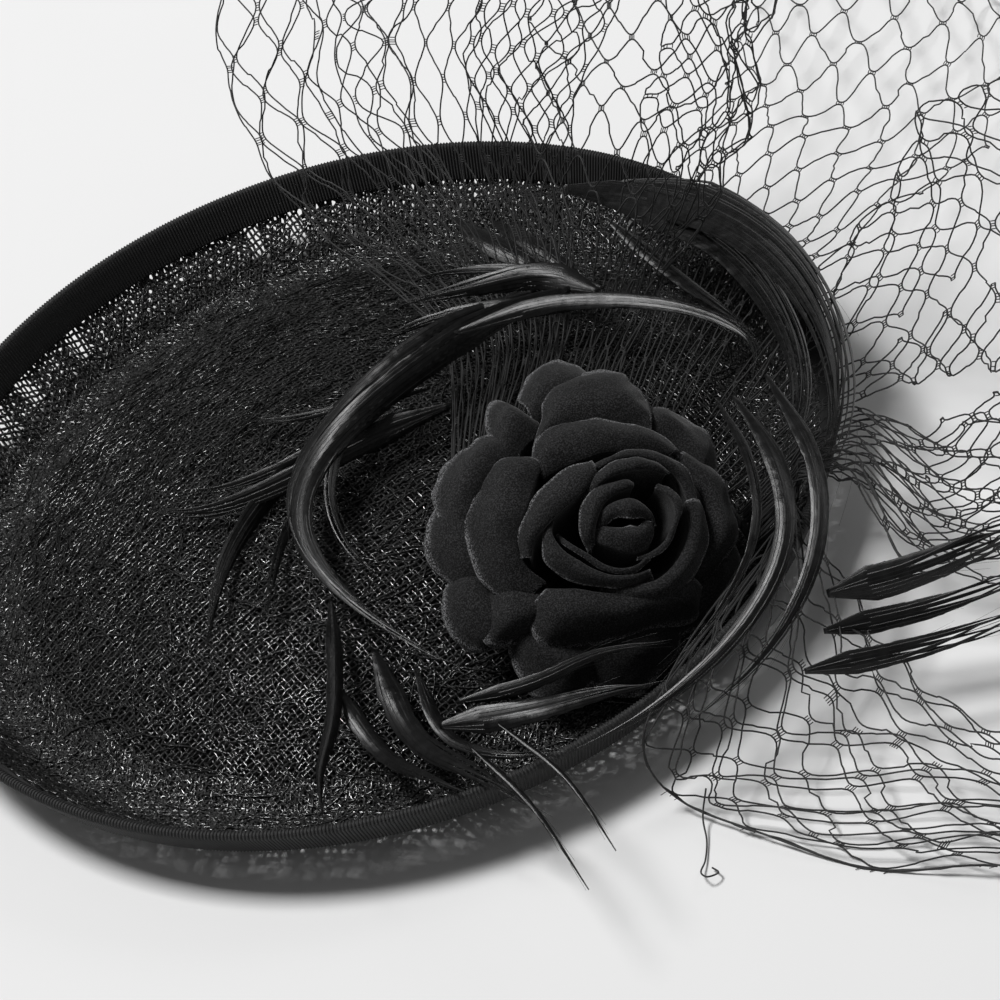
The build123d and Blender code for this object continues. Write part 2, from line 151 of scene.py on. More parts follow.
def grid_faces(rows: int, columns: int, first: int = 0, flip: bool = False) -> Array:
    """Quads of a grid whose corners are numbered row by row from `first`."""
    corner = first + np.arange(rows * columns).reshape(rows, columns)
    a, b = corner[:-1, :-1].ravel(), corner[:-1, 1:].ravel()
    c, d = corner[1:, 1:].ravel(), corner[1:, :-1].ravel()
    return np.stack([a, d, c, b] if flip else [a, b, c, d], 1)


def rim_loop(rows: int, columns: int) -> Array:
    """Corner numbers round the outside of a grid."""
    corner = np.arange(rows * columns).reshape(rows, columns)
    return np.concatenate(
        [corner[0, :-1], corner[:-1, -1], corner[-1, :0:-1], corner[:0:-1, 0]]
    )


@dataclass
class Cloth:
    """Closed thin sheets gathered into one mesh."""

    points: list[Array] = field(default_factory=list)
    faces: list[Array] = field(default_factory=list)
    marks: list[Array] = field(default_factory=list)
    count: int = 0

    def add(self, grid: Array, thickness: float | Array, mark: Array) -> None:
        """Adds one sheet.

        Args:
            grid: points of its middle surface, rows by columns.
            thickness: of the cloth, or one value per grid point.
            mark: three numbers per grid point, kept as the attribute "mark".
        """
        rows, columns = grid.shape[:2]
        size = rows * columns
        half = grid_normals(grid) * np.broadcast_to(thickness, (rows, columns))[:, :, None] / 2
        upper, lower = (grid + half).reshape(-1, 3), (grid - half).reshape(-1, 3)
        loop = rim_loop(rows, columns)
        after = np.roll(loop, -1)
        wall = np.stack([loop, loop + size, after + size, after], 1)
        sides = [
            grid_faces(rows, columns, flip=True), grid_faces(rows, columns, size), wall[:, ::-1]
        ]
        self.points.append(np.concatenate([upper, lower]))
        self.faces.append(np.concatenate(sides) + self.count)
        self.marks.append(np.tile(mark.reshape(-1, 3), (2, 1)))
        self.count += 2 * size

    def make(self, name: str) -> bpy.types.Object:
        """The mesh object of every sheet added."""
        piece = new_mesh(name, np.concatenate(self.points), np.concatenate(self.faces))
        mark = piece.data.attributes.new("mark", "FLOAT_VECTOR", "POINT")
        mark.data.foreach_set("vector", np.concatenate(self.marks).astype(np.float32).ravel())
        return piece


def place_node(
    tree: bpy.types.NodeTree, kind: str, settings: dict | None = None, sockets: dict | None = None
) -> bpy.types.Node:
    """Adds a node to a tree, its settings first and then its sockets.

    Args:
        tree: the node tree.
        kind: the node's type.
        settings: properties of the node; "stops" fills a colour ramp.
        sockets: values, sockets or Values, by the input's name or number.

    Returns:
        The node.
    """
    node = tree.nodes.new(kind)
    for key, value in (settings or {}).items():
        if key == "stops":
            for stop, (position, shade) in zip(node.color_ramp.elements, value):
                stop.position, stop.color = position, (shade, shade, shade, 1)
        else:
            setattr(node, key, value)
    for key, value in (sockets or {}).items():
        source = value.socket if isinstance(value, Value) else value
        if isinstance(source, bpy.types.NodeSocket):
            tree.links.new(source, node.inputs[key])
        else:
            node.inputs[key].default_value = source
    return node


class Value:
    """A number running through a node tree, which Python's operators add Math nodes to."""

    def __init__(self, tree: bpy.types.NodeTree, socket: Socket) -> None:
        """Wraps one output socket."""
        self.tree, self.socket = tree, socket

    def maths(self, operation: str, first: "Value | float", second: "Value | float" = 0.0) -> "Value":
        """The output of one Math node."""
        node = place_node(self.tree, "ShaderNodeMath", {"operation": operation}, {0: first, 1: second})
        return Value(self.tree, node.outputs[0])

    def __add__(self, other: "Value | float") -> "Value":
        """Sum."""
        return self.maths("ADD", self, other)

    def __radd__(self, other: "Value | float") -> "Value":
        """Sum."""
        return self.maths("ADD", other, self)

    def __sub__(self, other: "Value | float") -> "Value":
        """Difference."""
        return self.maths("SUBTRACT", self, other)

    def __rsub__(self, other: "Value | float") -> "Value":
        """Difference."""
        return self.maths("SUBTRACT", other, self)

    def __mul__(self, other: "Value | float") -> "Value":
        """Product."""
        return self.maths("MULTIPLY", self, other)

    def __rmul__(self, other: "Value | float") -> "Value":
        """Product."""
        return self.maths("MULTIPLY", other, self)

    def __pow__(self, other: "Value | float") -> "Value":
        """Power."""
        return self.maths("POWER", self, other)

    def sine(self) -> "Value":
        """Sine of the value, in radians."""
        return self.maths("SINE", self)


class Tree:
    """A geometry node tree with named inputs, grown on an object and kept as a plain mesh."""

    def __init__(self, name: str, inputs: dict[str, str]) -> None:
        """Makes the tree.

        Args:
            name: the tree's name.
            inputs: the socket type of each named input.
        """
        self.group = bpy.data.node_groups.new(name, "GeometryNodeTree")
        face = self.group.interface
        face.new_socket("Geometry", in_out="INPUT", socket_type="NodeSocketGeometry")
        self.sockets = {
            key: face.new_socket(key, in_out="INPUT", socket_type=kind).identifier
            for key, kind in inputs.items()
        }
        face.new_socket("Geometry", in_out="OUTPUT", socket_type="NodeSocketGeometry")
        self.source = self.group.nodes.new("NodeGroupInput").outputs

    def add(self, kind: str, sockets: dict | None = None, settings: dict | None = None) -> Socket:
        """Adds one node and returns its first output."""
        return place_node(self.group, kind, settings, sockets).outputs[0]

    def end(self, geometry: Socket) -> None:
        """Realizes, smooths and dresses the geometry, and sends it out."""
        whole = self.add("GeometryNodeRealizeInstances", {"Geometry": geometry})
        smooth = self.add("GeometryNodeSetShadeSmooth", {"Geometry": whole})
        dressed = self.add(
            "GeometryNodeSetMaterial", {"Geometry": smooth, "Material": self.source["Material"]}
        )
        place_node(self.group, "NodeGroupOutput", None, {"Geometry": dressed})

    def grow(self, source: bpy.types.Object, values: dict) -> bpy.types.Object:
        """Runs the tree on an object.

        Args:
            source: the object, whose mesh is replaced by the result.
            values: what each named input is set to.

        Returns:
            The same object with a plain mesh.
        """
        modifier = source.modifiers.new("grow", "NODES")
        modifier.node_group = self.group
        for key, value in values.items():
            modifier[self.sockets[key]] = value
        graph = bpy.context.evaluated_depsgraph_get()
        mesh = bpy.data.meshes.new_from_object(source.evaluated_get(graph))
        source.modifiers.clear()
        old, source.data = source.data, mesh
        mesh.name = source.name
        bpy.data.meshes.remove(old)
        return source


class ThreadTree(Tree):
    """Turns the edges of a mesh into round threads, as thick as its girth attribute says."""

    def __init__(self) -> None:
        """Builds the nodes."""
        super().__init__("threads", {"Sides": "NodeSocketInt", "Material": "NodeSocketMaterial"})
        girth = self.add(
            "GeometryNodeInputNamedAttribute", {"Name": "girth"}, {"data_type": "FLOAT"}
        )
        paths = self.add("GeometryNodeMeshToCurve", {"Mesh": self.source["Geometry"]})
        section = self.add(
            "GeometryNodeCurvePrimitiveCircle", {"Resolution": self.source["Sides"], "Radius": 1.0}
        )
        self.end(
            self.add(
                "GeometryNodeCurveToMesh",
                {"Curve": paths, "Profile Curve": section, "Scale": girth, "Fill Caps": True},
            )
        )


class TurnedTree(Tree):
    """Repeats a rib round the upright axis: the rib's edges become a cord, turned Count times."""

    def __init__(self) -> None:
        """Builds the nodes."""
        inputs = {
            "Count": "NodeSocketInt", "Girth": "NodeSocketFloat", "Sides": "NodeSocketInt",
            "Material": "NodeSocketMaterial",
        }
        super().__init__("turned_ribs", inputs)
        path = self.add("GeometryNodeMeshToCurve", {"Mesh": self.source["Geometry"]})
        section = self.add(
            "GeometryNodeCurvePrimitiveCircle",
            {"Resolution": self.source["Sides"], "Radius": self.source["Girth"]},
        )
        rib = self.add("GeometryNodeCurveToMesh", {"Curve": path, "Profile Curve": section})
        marks = self.add("GeometryNodePoints", {"Count": self.source["Count"]})
        index = Value(self.group, self.add("GeometryNodeInputIndex"))
        angle = index * TURN * (Value(self.group, self.source["Count"]) ** -1.0)
        euler = self.add("ShaderNodeCombineXYZ", {"Z": angle})
        turned = self.add("FunctionNodeEulerToRotation", {"Euler": euler})
        self.end(
            self.add(
                "GeometryNodeInstanceOnPoints",
                {"Points": marks, "Instance": rib, "Rotation": turned},
            )
        )


@dataclass
class Strands:
    """Thread paths that the thread tree turns into one piece."""

    paths: list[Array] = field(default_factory=list)
    girths: list[Array] = field(default_factory=list)

    def add(self, path: Array, radius: float | Array) -> None:
        """Adds a path, with its radius in millimetres, the same all along or one per point."""
        self.paths.append(np.asarray(path, float))
        self.girths.append(np.broadcast_to(radius, (len(path),)) * MM)

    def make(self, name: str, tree: ThreadTree, material: Finish, sides: int) -> Thing:
        """The piece made of every path added.

        Args:
            name: the piece's name.
            tree: what makes the paths round.
            material: what the threads are finished in.
            sides: of each thread's section.

        Returns:
            The object.
        """
        points = np.concatenate(self.paths)
        starts = np.cumsum([0] + [len(p) for p in self.paths[:-1]])
        edges = [
            np.stack([np.arange(s, s + len(p) - 1), np.arange(s + 1, s + len(p))], 1)
            for s, p in zip(starts, self.paths)
        ]
        mesh = bpy.data.meshes.new(name)
        mesh.from_pydata((points * MM).tolist(), np.concatenate(edges).tolist(), [])
        girth = mesh.attributes.new("girth", "FLOAT", "POINT")
        girth.data.foreach_set("value", np.concatenate(self.girths).astype(np.float32))
        piece = bpy.data.objects.new(name, mesh)
        bpy.context.scene.collection.objects.link(piece)
        return tree.grow(piece, {"Sides": sides, "Material": material})


# ------------------------------------------------------------------ finishes
class Bench:
    """A material's nodes, round one Principled shader."""

    def __init__(self, name: str) -> None:
        """An empty material with its shader and output."""
        self.material = bpy.data.materials.new(name)
        self.material.use_nodes = True
        self.tree = self.material.node_tree
        self.shader = self.tree.nodes["Principled BSDF"]
        self.place = self.add("ShaderNodeTexCoord").outputs["Object"]

    def add(
        self, kind: str, settings: dict | None = None, sockets: dict | None = None
    ) -> bpy.types.Node:
        """Adds one node."""
        return place_node(self.tree, kind, settings, sockets)

    def noise(self, size: float, detail: float = 2.0, spot: Socket | None = None) -> Value:
        """Noise from 0 to 1 whose features are about `size` millimetres."""
        sockets = {"Vector": spot or self.place, "Scale": 1 / (size * MM), "Detail": detail}
        return Value(self.tree, self.add("ShaderNodeTexNoise", None, sockets).outputs["Fac"])

    def axis(self, source: Socket, which: str) -> Value:
        """One part of a vector."""
        return Value(
            self.tree, self.add("ShaderNodeSeparateXYZ", None, {0: source}).outputs[which]
        )

    def mark(self) -> bpy.types.NodeSocket:
        """The piece's own "mark" attribute."""
        settings = {"attribute_name": "mark", "attribute_type": "GEOMETRY"}
        return self.add("ShaderNodeAttribute", settings).outputs["Vector"]

    def spread(self, value: Value, low: float, high: float) -> Value:
        """The value stretched so that low becomes 0 and high becomes 1, and held there."""
        sockets = {"Value": value, "From Min": low, "From Max": high}
        return Value(self.tree, self.add("ShaderNodeMapRange", None, sockets).outputs["Result"])

    def grey(self, shade: Value, tint: Triple = (1.0, 1.0, 1.03)) -> bpy.types.NodeSocket:
        """A nearly neutral colour of that brightness."""
        parts = {axis: shade * part for axis, part in zip("XYZ", tint)}
        return self.add("ShaderNodeCombineXYZ", None, parts).outputs[0]

    def bump(self, height: Value, depth: float, strength: float = 1.0) -> None:
        """Feeds a height into the shader's normal, its depth in millimetres."""
        sockets = {"Height": height, "Distance": depth * MM, "Strength": strength}
        node = self.add("ShaderNodeBump", None, sockets)
        self.tree.links.new(node.outputs["Normal"], self.shader.inputs["Normal"])

    def feed(self, **sockets) -> bpy.types.Material:
        """Sets or links the shader's sockets, their spaces written as underscores.

        Args:
            sockets: numbers, sockets or Values by input name.

        Returns:
            The finished material.
        """
        for key, value in sockets.items():
            target = self.shader.inputs[key.replace("_", " ")]
            source = value.socket if isinstance(value, Value) else value
            if isinstance(source, bpy.types.NodeSocket):
                self.tree.links.new(source, target)
            else:
                target.default_value = source
        return self.material


@dataclass(frozen=True)
class StrawFinish:
    """Black glazed straw braid: uneven gloss from fibre to fibre."""

    glint: float = 0.8      # length over which the gloss changes

    def make(self) -> bpy.types.Material:
        """Builds the material."""
        bench = Bench("black_straw")
        fibre, patch = bench.noise(self.glint, 3), bench.noise(9, 3)
        dull = bench.spread(fibre, 0.43, 0.56)
        bench.bump(fibre + 0.25 * bench.noise(0.25), 0.55)
        return bench.feed(
            Base_Color=bench.grey(0.001 + 0.003 * fibre * patch),
            Roughness=0.3 + 0.3 * dull,
            Specular_IOR_Level=0.35,
            Coat_Weight=(1 - dull) * (1 - 0.8 * bench.spread(patch, 0.42, 0.66)),
            Coat_Roughness=0.14,
            Coat_IOR=1.85,
        )


@dataclass(frozen=True)
class LiningFinish:
    """Matte plain-woven lining."""

    pitch: float = 0.35

    def make(self) -> bpy.types.Material:
        """Builds the material."""
        bench = Bench("lining_cloth")
        warp = (bench.axis(bench.place, "X") * (TURN / (self.pitch * MM))).sine()
        weft = (bench.axis(bench.place, "Y") * (TURN / (self.pitch * MM))).sine()
        weave = warp * weft
        bench.bump(weave, 0.05)
        return bench.feed(
            Base_Color=bench.grey(0.004 + 0.002 * weave * bench.noise(6)),
            Roughness=0.85 - 0.15 * bench.noise(4),
            Specular_IOR_Level=0.2,
        )


@dataclass(frozen=True)
class RibbonFinish:
    """Grosgrain: dull satin cords, with the warp's fine twill across them."""

    twill: float = 0.5

    def make(self) -> bpy.types.Material:
        """Builds the material."""
        bench = Bench("grosgrain_ribbon")
        z = bench.axis(bench.place, "Z") * (TURN / (self.twill * MM))
        x = bench.axis(bench.place, "X") * (TURN / (self.twill * MM))
        thread = (z + x + 2 * bench.noise(3)).sine()
        bench.bump(thread, 0.03)
        return bench.feed(
            Base_Color=bench.grey(0.005 + 0.008 * bench.noise(0.8, 3)),
            Roughness=0.55 + 0.2 * bench.noise(2),
            Sheen_Weight=0.06,
            Sheen_Roughness=0.4,
        )


@dataclass(frozen=True)
class PetalFinish:
    """Napped crepe: fine pale fibres on black, and a paler cut edge."""

    nap: float = 0.38
    edge_gain: float = 0.30

    def make(self) -> bpy.types.Material:
        """Builds the material."""
        bench = Bench("petal_crepe")
        nap, cloud = bench.noise(self.nap, 4), bench.noise(9, 3)
        edge = bench.axis(bench.mark(), "X")
        fibre = bench.spread(nap, 0.44, 0.72)
        bench.bump(nap, 0.16)
        return bench.feed(
            Base_Color=bench.grey(
                0.004 + 0.042 * fibre * (0.4 + cloud) + self.edge_gain * edge * fibre
            ),
            Roughness=0.82 + 0.1 * cloud,
            Sheen_Weight=0.1,
            Sheen_Roughness=0.45,
            Specular_IOR_Level=0.2,
        )


@dataclass(frozen=True)
class FeatherFinish:
    """Glossy barbs lying side by side, aslant to the quill."""

    barb: float = 0.42      # pitch of the barbs
    slant: float = 1.5

    def make(self) -> bpy.types.Material:
        """Builds the material."""
        bench = Bench("feather_barbs")
        mark = bench.mark()
        along, across = bench.axis(mark, "Y"), bench.axis(mark, "X")
        lean = along + across * self.slant + 1.2 * bench.noise(5)
        barbs = (lean * (TURN / self.barb)).sine()
        streak = bench.noise(2.5, 3)
        bench.bump(barbs * (0.5 + streak), 0.013, 0.7)
        return bench.feed(
            Base_Color=bench.grey(0.0015 + 0.003 * bench.spread(streak, 0.4, 0.7)),
            Roughness=0.20 + 0.12 * streak + 0.05 * barbs,
            Specular_IOR_Level=0.42,
        )


@dataclass(frozen=True)
class ThreadFinish:
    """Twisted matte thread."""

    name: str = "net_thread"
    shade: float = 0.008

    def make(self) -> bpy.types.Material:
        """Builds the material."""
        bench = Bench(self.name)
        fibre = bench.noise(0.3, 2)
        bench.bump(fibre, 0.08)
        return bench.feed(
            Base_Color=bench.grey(self.shade * (0.5 + fibre)),
            Roughness=0.5 + 0.25 * fibre,
            Sheen_Weight=0.1,
            Sheen_Roughness=0.5,
        )


@dataclass(frozen=True)
class FeltFinish:
    """Pressed black felt with a loose nap."""

    name: str = "felt"

    def make(self) -> bpy.types.Material:
        """Builds the material."""
        bench = Bench(self.name)
        nap = bench.noise(0.6, 5)
        bench.bump(nap, 0.25)
        return bench.feed(
            Base_Color=bench.grey(0.008 + 0.014 * nap),
            Roughness=0.9 + 0.05 * nap,
            Sheen_Weight=0.2,
        )


@dataclass(frozen=True)
class SteelFinish:
    """Clip steel: enamelled black with bare wear, or bare spring steel."""

    name: str
    shade: float
    metal: float
    gloss: float

    def make(self) -> bpy.types.Material:
        """Builds the material."""
        bench = Bench(self.name)
        wear = bench.spread(bench.noise(3, 5), 0.62, 0.72)
        scratch = bench.noise(0.5, 4)
        bench.bump(scratch, 0.01)
        return bench.feed(
            Base_Color=bench.grey(self.shade + 0.25 * wear * scratch),
            Metallic=self.metal + (1 - self.metal) * wear,
            Roughness=self.gloss + 0.2 * scratch,
        )


# ------------------------------------------------------------------ saucer
def dress(piece: Thing, material: Finish, slot: str, *nodes: str) -> Thing:
    """Gives a piece its material and body, and hides the CAD nodes it stands for.

    Args:
        piece: the new piece.
        material: its finish.
        slot: not used.
        nodes: CAD nodes that it replaces.

    Returns:
        The piece.
    """
    if not piece.data.materials:
        piece.data.materials.append(material)
    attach(piece, BODY)
    if nodes:
        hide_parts(*nodes)
    log.info("%s: %d faces", piece.name, len(piece.data.polygons))
    return piece


@dataclass(frozen=True)
class Profile:
    """The straw's middle surface, as height over distance from the middle."""

    ring_inner: float = 108.0
    ring_outer: float = 117.0
    bend: tuple[float, float] = (129.0, 11.0)
    top: tuple[float, float] = (133.2, 20.3)
    crown_height: float = 24.8
    half: float = 0.6       # half the straw's thickness

    @property
    def dome(self) -> float:
        """Radius of the dome's underside."""
        return (self.ring_inner**2 + self.crown_height**2) / (2 * self.crown_height)

    def height(self, radius: Array) -> Array:
        """Height of the straw's middle surface."""
        slope = self.bend[1] / (self.bend[0] - self.ring_outer)
        steep = (self.top[1] - self.bend[1]) / (self.top[0] - self.bend[0])
        ball = np.sqrt((self.dome + self.half) ** 2 - radius**2) + self.crown_height - self.dome
        lines = [
            ball,
            np.full_like(radius, self.half),
            self.half * math.hypot(1, slope) + (radius - self.ring_outer) * slope,
            self.half * math.hypot(1, steep) + self.bend[1] + (radius - self.bend[0]) * steep,
        ]
        return np.max(lines, axis=0)

    def surface(self, plan: Array, lift: float | Array = 0.0) -> Array:
        """Points over a plan, `lift` above the straw's middle surface."""
        return np.column_stack([plan, self.height(np.linalg.norm(plan, axis=1)) + lift])


@dataclass(frozen=True)
class Layer:
    """One layer of plain-woven straw between two radii."""

    name: str
    inner: float
    outer: float
    pitch: float
    turn: float             # degrees from the front
    thread: float
    seed: int
    thin: tuple[tuple[float, float], ...] = ()      # headings where it stops short, and how wide
    thin_edge: float = 121.0
    floor_share: float = 0.8        # least height of a thread's middle, over its radius


@dataclass
class Saucer:
    """The blocked straw saucer with its lining and bound rim."""

    profile: Profile = field(default_factory=Profile)
    layers: tuple[Layer, ...] = (
        Layer("straw_dome", 0.0, 101.5, 1.5, 21.0, 0.42, 11),
        Layer("straw_wall", 100.0, 133.0, 1.5, 21.0, 0.5, 12),
        Layer("straw_wall_backing", 100.0, 132.6, 1.25, 64.0, 0.5, 13,
              ((141, 2.2), (134, 1), (124, 1.2), (95, 0.8), (89, 0.9), (40, 1.5))),
    )
    weave_lift: float = 0.28
    stray: float = 0.22
    loose_fibres: int = 2600
    loose_reach: float = 127.0
    loose_step: float = 1.3
    rib_pitch: float = 0.95
    rib_girth: float = 0.36
    ribbon_leg: float = 10.0
    ribbon_half: float = 0.98

    def weave(self, layer: Layer, tree: ThreadTree, material: Finish) -> Thing:
        """Weaves one layer of straw as threads that pass over and under each other.

        Args:
            layer: which stretch of the saucer, and its weave.
            tree: what makes the paths round.
            material: the straw's finish.

        Returns:
            The piece.
        """
        rng = np.random.default_rng(layer.seed)
        strands = Strands()
        reach = int(layer.outer / layer.pitch) + 1
        index = np.arange(-reach, reach + 1)
        turn = math.radians(layer.turn)
        axes = np.array([[math.cos(turn), math.sin(turn)], [-math.sin(turn), math.cos(turn)]])
        shift = rng.normal(0, self.stray, (2, len(index)))
        for way in range(2):
            for k, i in enumerate(index):
                local = np.empty((len(index), 2))
                local[:, way] = index * layer.pitch + shift[1 - way]
                local[:, 1 - way] = i * layer.pitch + shift[way, k]
                local += rng.normal(0, self.stray * 0.5, local.shape)
                plan = local @ axes
                over = np.where((index + i + way) % 2, 1.0, -1.0)
                over = over * self.weave_lift * rng.uniform(0.2, 1.6, len(index))
                self.lay(strands, layer, plan, over, rng)
        return strands.make(layer.name, tree, material, 3)

    def lay(self, strands: Strands, layer: Layer, plan: Array, over: Array, rng: Dice) -> None:
        """Adds the stretches of one thread that lie inside the layer.

        Args:
            strands: gathers the paths.
            layer: the layer's limits.
            plan: the thread's crossings in plan.
            over: lift of each crossing.
            rng: the layer's random numbers.
        """
        radius = np.linalg.norm(plan, axis=1)
        heading = np.arctan2(plan[:, 1], plan[:, 0])
        edge = np.full(len(radius), layer.outer)
        for middle, half in layer.thin:
            apart = np.degrees(heading) - middle
            edge = np.where(np.abs(apart) < half, layer.thin_edge + rng.uniform(-2, 2), edge)
        inside = (radius > layer.inner) & (radius < edge)
        path = self.profile.surface(plan, over)
        girth = layer.thread * rng.uniform(0.8, 1.15)
        path[:, 2] = np.maximum(path[:, 2], layer.floor_share * girth)
        ends = np.flatnonzero(np.diff(np.concatenate([[0], inside.astype(int), [0]])))
        for first, after in ends.reshape(-1, 2):
            if after - first > 1:
                strands.add(path[first:after], girth)

    def fibres(self, tree: ThreadTree, material: Finish) -> Thing:
        """Loose straw fibres that wander over the dome and the wall."""
        rng = np.random.default_rng(17)
        strands = Strands()
        steps = np.arange(12)
        for _ in range(self.loose_fibres):
            radius, heading = self.loose_reach * math.sqrt(rng.random()), rng.uniform(0, TURN)
            turn = heading + math.pi / 2 + rng.normal(0, 0.5) + rng.normal(0, 0.05) * steps
            step = np.column_stack([np.cos(turn), np.sin(turn)]) * self.loose_step
            start = radius * np.array([math.cos(heading), math.sin(heading)])
            plan = start + np.cumsum(step + rng.normal(0, 0.25, step.shape), axis=0)
            if np.linalg.norm(plan, axis=1).max() < self.loose_reach:
                lift = rng.uniform(0.25, 0.75) + rng.normal(0, 0.12, len(steps))
                strands.add(self.profile.surface(plan, lift), rng.uniform(0.16, 0.3))
        return strands.make("straw_fibres", tree, material, 3)

    def rim_section(self, half: float, foot: float, count: int) -> Array:
        """The folded ribbon's section as (radius, height), from one foot over to the other.

        Args:
            half: half the fold's width.
            foot: how far down the legs reach.
            count: points round the head.

        Returns:
            Points of the section.
        """
        bend, top = np.array(self.profile.bend), np.array(self.profile.top)
        along = (top - bend) / np.linalg.norm(top - bend)
        across = np.array([along[1], -along[0]])
        wire_gap = 0.65
        centre = top - across * self.profile.half + along * wire_gap
        angles = np.linspace(0, math.pi, count)
        head = np.outer(np.cos(angles), across) + np.outer(np.sin(angles), along)
        drops = np.linspace(foot, 0, 5)[:-1, None]
        legs = [centre + side * half * across - drops * along for side in (1, -1)]
        return np.concatenate([legs[0], centre + half * head, legs[1][::-1]])

    def ribbon(self, tree: TurnedTree, material: Finish) -> list[Thing]:
        """The folded band and the cords that rib it.

        Args:
            tree: what repeats a rib round the rim.
            material: the ribbon's finish.

        Returns:
            The band and its ribs.
        """
        thickness, around = 0.3, 360
        outer = self.rim_section(self.ribbon_half + thickness / 2, self.ribbon_leg, 9)
        inner = self.rim_section(self.ribbon_half - thickness / 2, self.ribbon_leg, 9)
        section = np.concatenate([outer, inner[::-1]])
        angles = np.arange(around) * TURN / around
        spin = np.stack([np.cos(angles), np.sin(angles)], 1)
        rings = section[None, :, 0, None] * spin[:, None, :]
        heights = np.broadcast_to(section[None, :, 1, None], rings.shape[:2] + (1,))
        points = np.concatenate([rings, heights], 2).reshape(-1, 3)
        corner = np.arange(len(points)).reshape(around, -1)
        right, below = np.roll(corner, -1, 0), np.roll(corner, -1, 1)
        faces = np.stack([corner, right, np.roll(right, -1, 1), below], -1).reshape(-1, 4)
        band = new_mesh("rim_ribbon_band", points, faces)
        outline = self.rim_section(self.ribbon_half + thickness / 2, self.ribbon_leg - 0.4, 7)
        rib = np.column_stack([outline[:, 0], np.zeros(len(outline)), outline[:, 1]])
        mesh = bpy.data.meshes.new("rim_ribbon_ribs")
        mesh.from_pydata((rib * MM).tolist(), [(k, k + 1) for k in range(len(rib) - 1)], [])
        ribs = bpy.data.objects.new("rim_ribbon_ribs", mesh)
        bpy.context.scene.collection.objects.link(ribs)
        count = round(TURN * self.profile.top[0] / self.rib_pitch)
        values = {"Count": count, "Girth": self.rib_girth * MM, "Sides": 4, "Material": material}
        return [band, tree.grow(ribs, values)]

    def build(self, threads: ThreadTree, turned: TurnedTree) -> None:
        """Makes and dresses every part of the saucer."""
        straw, grosgrain = StrawFinish().make(), RibbonFinish().make()
        for layer in self.layers:
            dress(self.weave(layer, threads, straw), straw, "straw_cloth", "straw_base")
        dress(self.fibres(threads, straw), straw, "straw_cloth", "straw_base")
        for piece in self.ribbon(turned, grosgrain):
            dress(piece, grosgrain, "grosgrain", "rim_ribbon")


# ------------------------------------------------------------------ rose
@dataclass(frozen=True)
class RoseFrame:
    """Where the rose stands, and which way it leans."""

    centre: tuple[float, float] = (50.0, -64.0)
    foot: float = 16.0
    tilt: float = 30.0
    heading: float = -65.0

    def place(self, points: Array) -> Array:
        """Moves points from the rose's own frame into the object's."""
        tilt, heading = math.radians(self.tilt), math.radians(self.heading)
        up = np.array([
            math.cos(heading) * math.sin(tilt), math.sin(heading) * math.sin(tilt), math.cos(tilt)
        ])
        x = np.array([-math.sin(heading), math.cos(heading), 0.0])
        return points @ np.stack([x, np.cross(up, x), up]) + np.array([*self.centre, self.foot])


@dataclass(frozen=True)
class Petal:
    """One petal by listed lines of (heading, radius, height) in the rose's frame.

    The crest is the line that it bends over, and the lip its free edge beyond that. A petal
    of the heart is set out round the heart's own middle.
    """

    name: str
    node: str
    crest: tuple[Triple, ...]
    lip: tuple[Triple, ...]
    heart: bool = False
    belly: float = 0.86     # how far out the petal swells below its crest
    ruffle: float = 0.5


